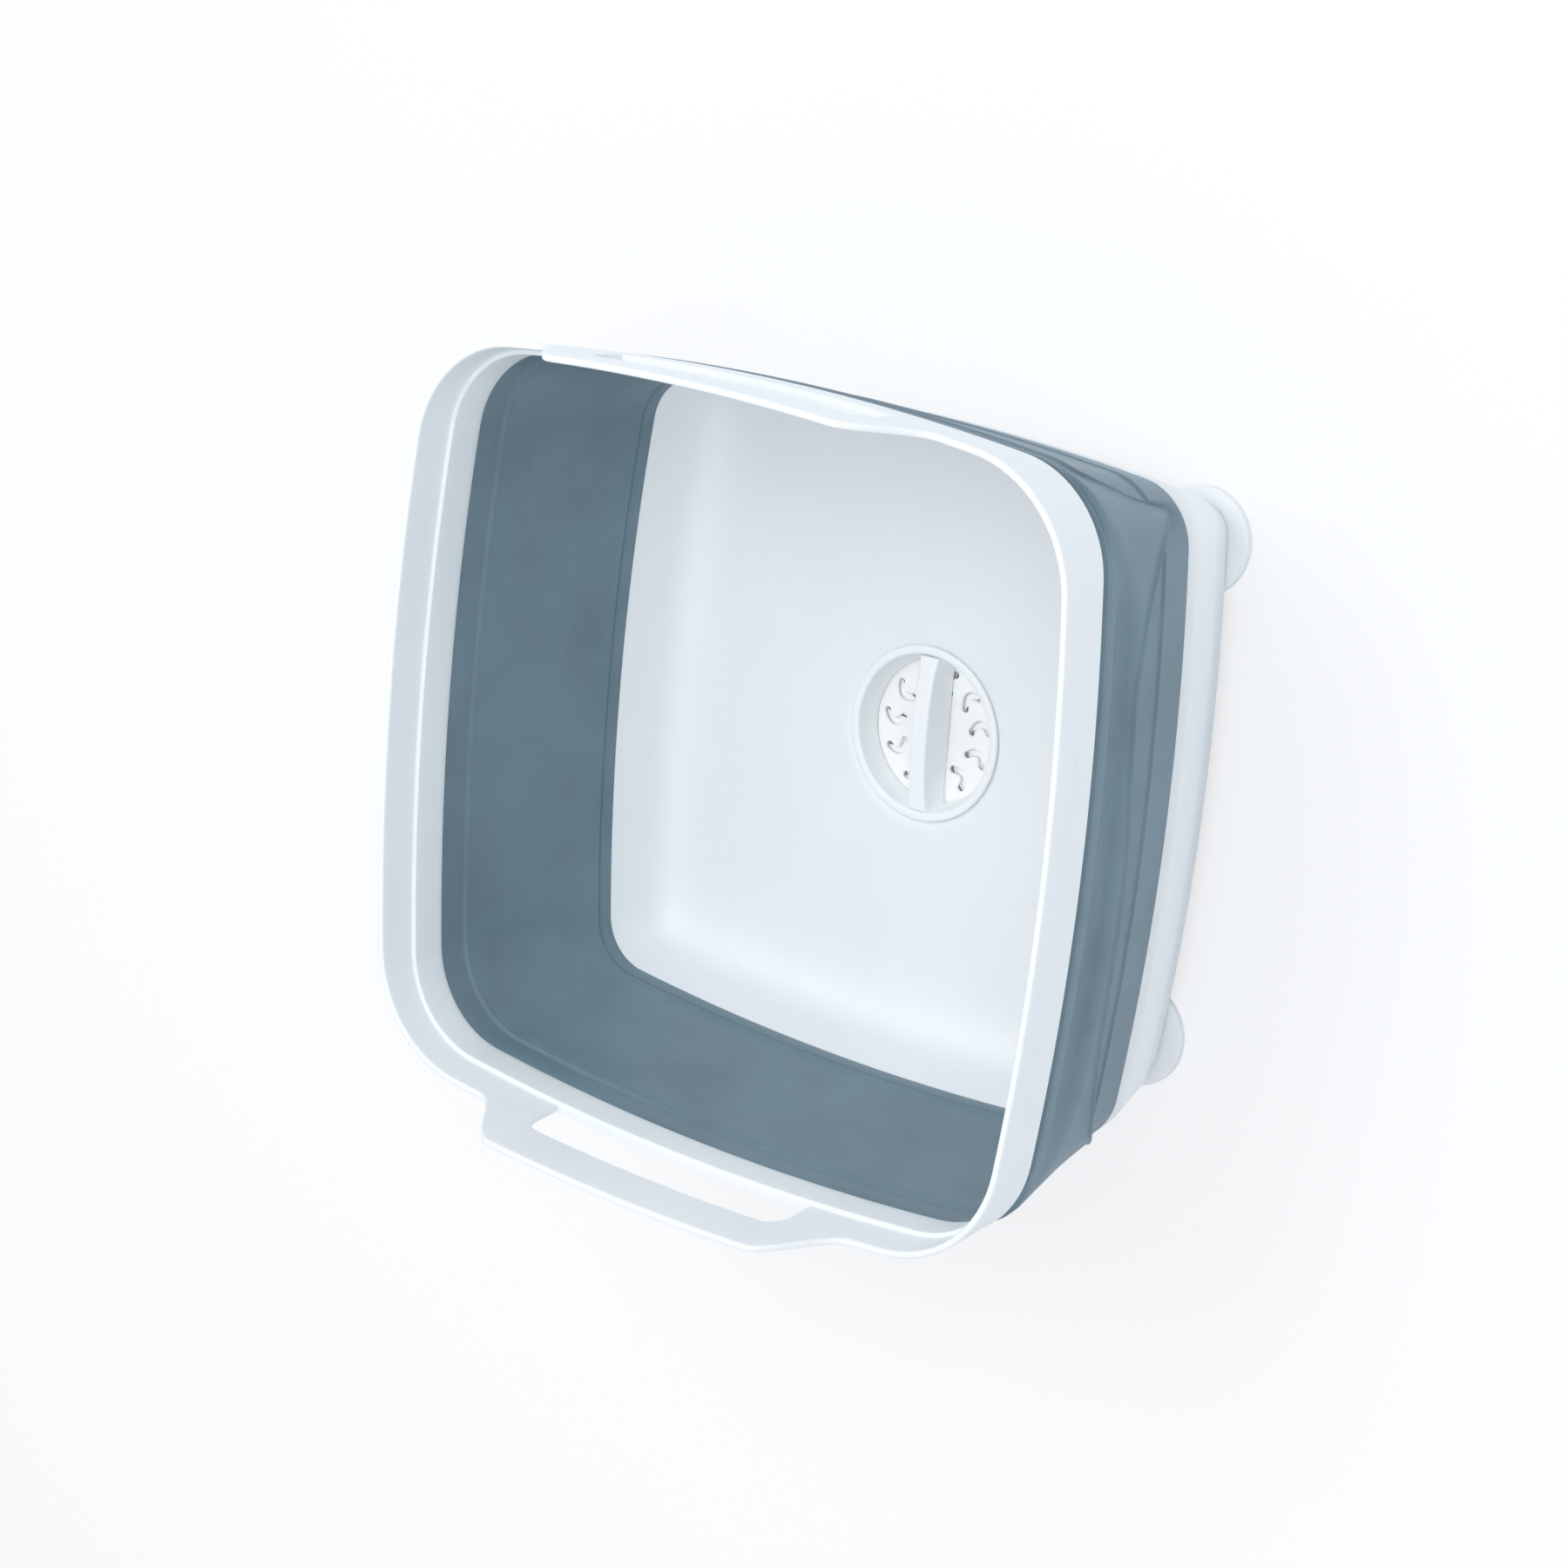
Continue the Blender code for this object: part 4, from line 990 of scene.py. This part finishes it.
def slots_cutter(sizes, turn, low, high):
    """Cutters for the whole ring of slots, flared at both faces."""
    turn += sizes.slot_start
    levels = ((low - 0.0010, 0.0014), (low, 0.0003), (low + 0.0003, 0.0), (high - 0.0004, 0.0), (high, 0.0004),
              (high + 0.0010, 0.0014))
    mesh = skin([slot_ring(sizes, turn, grow, height) for height, grow in levels], closed=False)
    count = sizes.slot_count
    bmesh.ops.spin(
        mesh, geom=mesh.verts[:] + mesh.edges[:] + mesh.faces[:], angle=math.tau * (count - 1) / count,
        steps=count - 1, use_duplicate=True, **ROUND_Z)
    return mesh


class WASHBASIN_OT_grip(bpy.types.Operator):
    """Build the drain's turning grip: a ring, its dished wall and the arched bar"""

    bl_idname = "washbasin.grip"
    bl_label = "Drain Grip"

    def execute(self, context):
        sizes = context.scene.washbasin_drain
        low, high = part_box("drain_grip")
        floor, top = low.z, high.z - sizes.bar_arch
        ring_inner = sizes.ring_radius - sizes.ring_width
        tray_sizes = context.scene.washbasin_tray
        under = tray_sizes.floor_height - tray_sizes.floor_dip + JOINT_GAP
        rows = [
            (sizes.ring_radius, top, 0.0014),
            (sizes.ring_radius, under, 0.0002),
            (sizes.dish_radius, under, 0.0),
            (sizes.dish_radius, floor, 0.0003),
            (sizes.dish_floor_radius, floor, 0.0001),
            (sizes.dish_floor_radius + 0.0002, floor + 0.0011, 0.0010),
            (ring_inner, top - 0.0012, 0.0010),
            (ring_inner + 0.0006, top, 0.0011),
        ]
        grip = new_piece("drain_grip_moulding", spun(soften(rows), 144, closed=True))
        combine(grip, self.bar(sizes, top, floor), "UNION", smooth_angle=math.radians(35))
        # Painted highlight: the grip gets the tray's own plastic painted 30 % nearer white, so that the ring looks
        # brighter than the floor, as if lit
        painted_lightening = 0.3
        colour = [value + (1 - value) * painted_lightening for value in tray_sizes.colour]
        plastic = moulded_plastic(
            "grip_moulded_plastic", colour, roughness=0.36, edge_height=top + sizes.bar_arch, edge_band=0.0006,
            glow=0.1, reach=0.002)
        dress(grip, plastic, "drain_valve", "tray_polypropylene", "drain_grip")
        return {"FINISHED"}

    def bar(self, sizes, top, floor):
        """The arched bar as a bmesh: flat on top, with sloping sides that run into the dish."""
        rows = []
        steps = 40
        reach = sizes.dish_radius - 0.0006
        for step in range(steps + 1):
            share = 2 * step / steps - 1
            crown = top + sizes.bar_arch * (1 - share * share)
            spread = 0.0012 * smooth_share(abs(share), 0.72, 1.0)
            half_top = sizes.bar_width / 2 + spread * 0.5
            half_foot = sizes.bar_foot / 2 + spread
            section = soften([
                (-half_foot, floor, 0.0),
                (half_foot, floor, 0.0),
                (half_top, crown, 0.0012),
                (-half_top, crown, 0.0012),
            ], 6)
            rows.append([Vector((place.x, reach * share, place.y)) for place in section])
        mesh = skin(rows, closed=False)
        bmesh.ops.rotate(mesh, verts=mesh.verts, matrix=Matrix.Rotation(sizes.bar_turn, 3, "Z"))
        return mesh


class WASHBASIN_OT_shutter(bpy.types.Operator):
    """Build the drain's slotted shutter"""

    bl_idname = "washbasin.shutter"
    bl_label = "Drain Shutter"

    def execute(self, context):
        sizes = context.scene.washbasin_drain
        low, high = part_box("drain_shutter")
        radius, bore = high.x, 0.0023
        disc = soften([(bore, high.z, 0.0), (radius, high.z, 0.0003), (radius, low.z, 0.0003), (bore, low.z, 0.0)])
        shutter = new_piece("drain_shutter_disc", spun(disc, 144, closed=True))
        cutter = slots_cutter(sizes, sizes.shutter_turn, low.z, high.z)
        combine(shutter, cutter, "DIFFERENCE", smooth_angle=math.radians(35))
        plastic = moulded_plastic(
            "shutter_moulded_plastic", sizes.colour, roughness=0.34, edge_height=high.z + 0.01, edge_band=0.0005,
            glow=0.05, reach=0.001)
        dress(shutter, plastic, "drain_valve", "drain_polypropylene", "drain_shutter")
        return {"FINISHED"}


class WASHBASIN_OT_drain_inside(bpy.types.Operator):
    """Finish the drain's body, pin and seals, whose shapes are right as they are"""

    bl_idname = "washbasin.drain_inside"
    bl_label = "Drain Body and Seals"

    def execute(self, context):
        sizes = context.scene.washbasin_drain
        body = moulded_plastic(
            "drain_body_plastic", sizes.colour, roughness=0.38, edge_height=0.5, edge_band=0.001,
            glow=0.05, reach=0.001)
        rubber = seal_rubber("drain_seal_rubber", (0.10, 0.11, 0.12))
        finishes = {
            "drain_body": body,
            "drain_pin": bpy.data.materials["grip_moulded_plastic"],
            "drain_gasket": rubber,
            "drain_seal": rubber,
        }
        for node, material in finishes.items():
            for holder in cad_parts[node].material_slots:
                holder.material = material
        return {"FINISHED"}


# The stage

WHITE = (1.0, 1.0, 1.0, 1.0)
PAPER_COLOUR = (0.90, 0.93, 0.97, 1.0)
SKY_COLOUR = (0.95, 0.975, 1.0, 1.0)
REAR_LAMP_PLACE = (-0.35, 0.75, 1.55)
FRONT_LAMP_PLACE = (0.85, 0.40, 1.60)
TOP_LAMP_PLACE = (0.0, 0.0, 1.9)
LAMP_AIM = (0.0, 0.0, 0.06)
CAMERA_PLACE = (0.7585, 0.3483, 1.1231)
CAMERA_RIGHT = Vector((0.78121, 0.09679, -0.61671))
CAMERA_UP = Vector((-0.24085, 0.95815, -0.15471))


class WASHBASIN_OT_stage(bpy.types.Operator):
    """Set up the pale floor, the soft light and the camera at the photograph's angle"""

    bl_idname = "washbasin.stage"
    bl_label = "Floor, Light and Camera"

    def execute(self, context):
        sizes = context.scene.washbasin_stage
        self.floor(sizes)
        self.world(context, sizes)
        self.lamp(context, "rear_lamp", REAR_LAMP_PLACE, sizes.rear_power, sizes.lamp_size)
        self.lamp(context, "front_lamp", FRONT_LAMP_PLACE, sizes.front_power, sizes.lamp_size)
        self.lamp(context, "top_lamp", TOP_LAMP_PLACE, sizes.top_power, sizes.lamp_size)
        self.camera(context, sizes)
        context.scene.view_settings.view_transform = "Standard"
        return {"FINISHED"}

    def floor(self, sizes):
        mesh = bmesh.new()
        bmesh.ops.create_grid(mesh, x_segments=1, y_segments=1, size=sizes.floor_size / 2)
        floor = new_piece("studio_floor", mesh)
        material, graph, shader = new_material("studio_floor_paper")
        shader["Base Color"].default_value = PAPER_COLOUR
        shader["Roughness"].default_value = 0.9
        shader["Specular IOR Level"].default_value = 0.0
        white = graph.node("ShaderNodeEmission", {}, {"Color": WHITE, "Strength": 1.0})
        seen = graph.node("ShaderNodeLightPath", output="Is Camera Ray") * sizes.floor_glow
        paper = Wire(graph, graph.tree.nodes["Principled BSDF"].outputs["BSDF"])
        mixed = graph.node("ShaderNodeMixShader", {}, {0: seen, 1: paper, 2: white})
        graph.join(graph.tree.nodes["Material Output"].inputs["Surface"], mixed)
        floor.data.materials.append(material)

    def world(self, context, sizes):
        world = bpy.data.worlds.new("studio_world")
        context.scene.world = world
        graph = Graph(world)
        fill = graph.tree.nodes["Background"]
        fill.inputs["Color"].default_value = SKY_COLOUR
        fill.inputs["Strength"].default_value = sizes.world_strength
        white = graph.node("ShaderNodeBackground", {}, {"Color": WHITE, "Strength": 1.0})
        seen = graph.node("ShaderNodeLightPath", output="Is Camera Ray")
        mixed = graph.node("ShaderNodeMixShader", {}, {0: seen, 1: Wire(graph, fill.outputs[0]), 2: white})
        graph.join(graph.tree.nodes["World Output"].inputs["Surface"], mixed)

    def lamp(self, context, name, place, power, size):
        light = bpy.data.lights.new(name, "AREA")
        light.energy = power
        light.shape = "SQUARE"
        light.size = size
        lamp = bpy.data.objects.new(name, light)
        lamp.location = place
        lamp.rotation_euler = (Vector(place) - Vector(LAMP_AIM)).to_track_quat("Z", "Y").to_euler()
        context.scene.collection.objects.link(lamp)

    def camera(self, context, sizes):
        data = bpy.data.cameras.new("photo_camera")
        data.lens = sizes.lens
        data.sensor_width = 36.0
        camera = bpy.data.objects.new("photo_camera", data)
        context.scene.collection.objects.link(camera)
        turn = Matrix((CAMERA_RIGHT, CAMERA_UP, CAMERA_RIGHT.cross(CAMERA_UP))).transposed()
        camera.matrix_world = Matrix.Translation(CAMERA_PLACE) @ turn.to_4x4()
        context.scene.camera = camera


class WASHBASIN_PT_panel(bpy.types.Panel):
    """The washbasin's pieces in the 3D view's sidebar"""

    bl_idname = "WASHBASIN_PT_panel"
    bl_label = "Camp Washbasin"
    bl_space_type = "VIEW_3D"
    bl_region_type = "UI"
    bl_category = "Washbasin"

    def draw(self, context):
        for operator in OPERATORS:
            self.layout.operator(operator.bl_idname)
        for name in SETTINGS:
            box = self.layout.box()
            group = getattr(context.scene, name)
            for setting in group.__annotations__:
                box.prop(group, setting)


OPERATORS = (
    WASHBASIN_OT_rim,
    WASHBASIN_OT_wall,
    WASHBASIN_OT_tray,
    WASHBASIN_OT_feet,
    WASHBASIN_OT_grip,
    WASHBASIN_OT_shutter,
    WASHBASIN_OT_drain_inside,
    WASHBASIN_OT_stage,
)
SETTINGS = {
    "washbasin_rim": RimSettings,
    "washbasin_wall": WallSettings,
    "washbasin_tray": TraySettings,
    "washbasin_drain": DrainSettings,
    "washbasin_stage": StageSettings,
}


def register():
    for name, group in SETTINGS.items():
        bpy.utils.register_class(group)
        setattr(bpy.types.Scene, name, PointerProperty(type=group))
    for operator in OPERATORS:
        bpy.utils.register_class(operator)
    bpy.utils.register_class(WASHBASIN_PT_panel)


def unregister():
    bpy.utils.unregister_class(WASHBASIN_PT_panel)
    for operator in reversed(OPERATORS):
        bpy.utils.unregister_class(operator)
    for name, group in SETTINGS.items():
        delattr(bpy.types.Scene, name)
        bpy.utils.unregister_class(group)


def main():
    register()
    bpy.ops.washbasin.rim()
    bpy.ops.washbasin.wall()
    bpy.ops.washbasin.tray()
    bpy.ops.washbasin.feet()
    bpy.ops.washbasin.grip()
    bpy.ops.washbasin.shutter()
    bpy.ops.washbasin.drain_inside()
    bpy.ops.washbasin.stage()


if __name__ == "__main__":
    main()
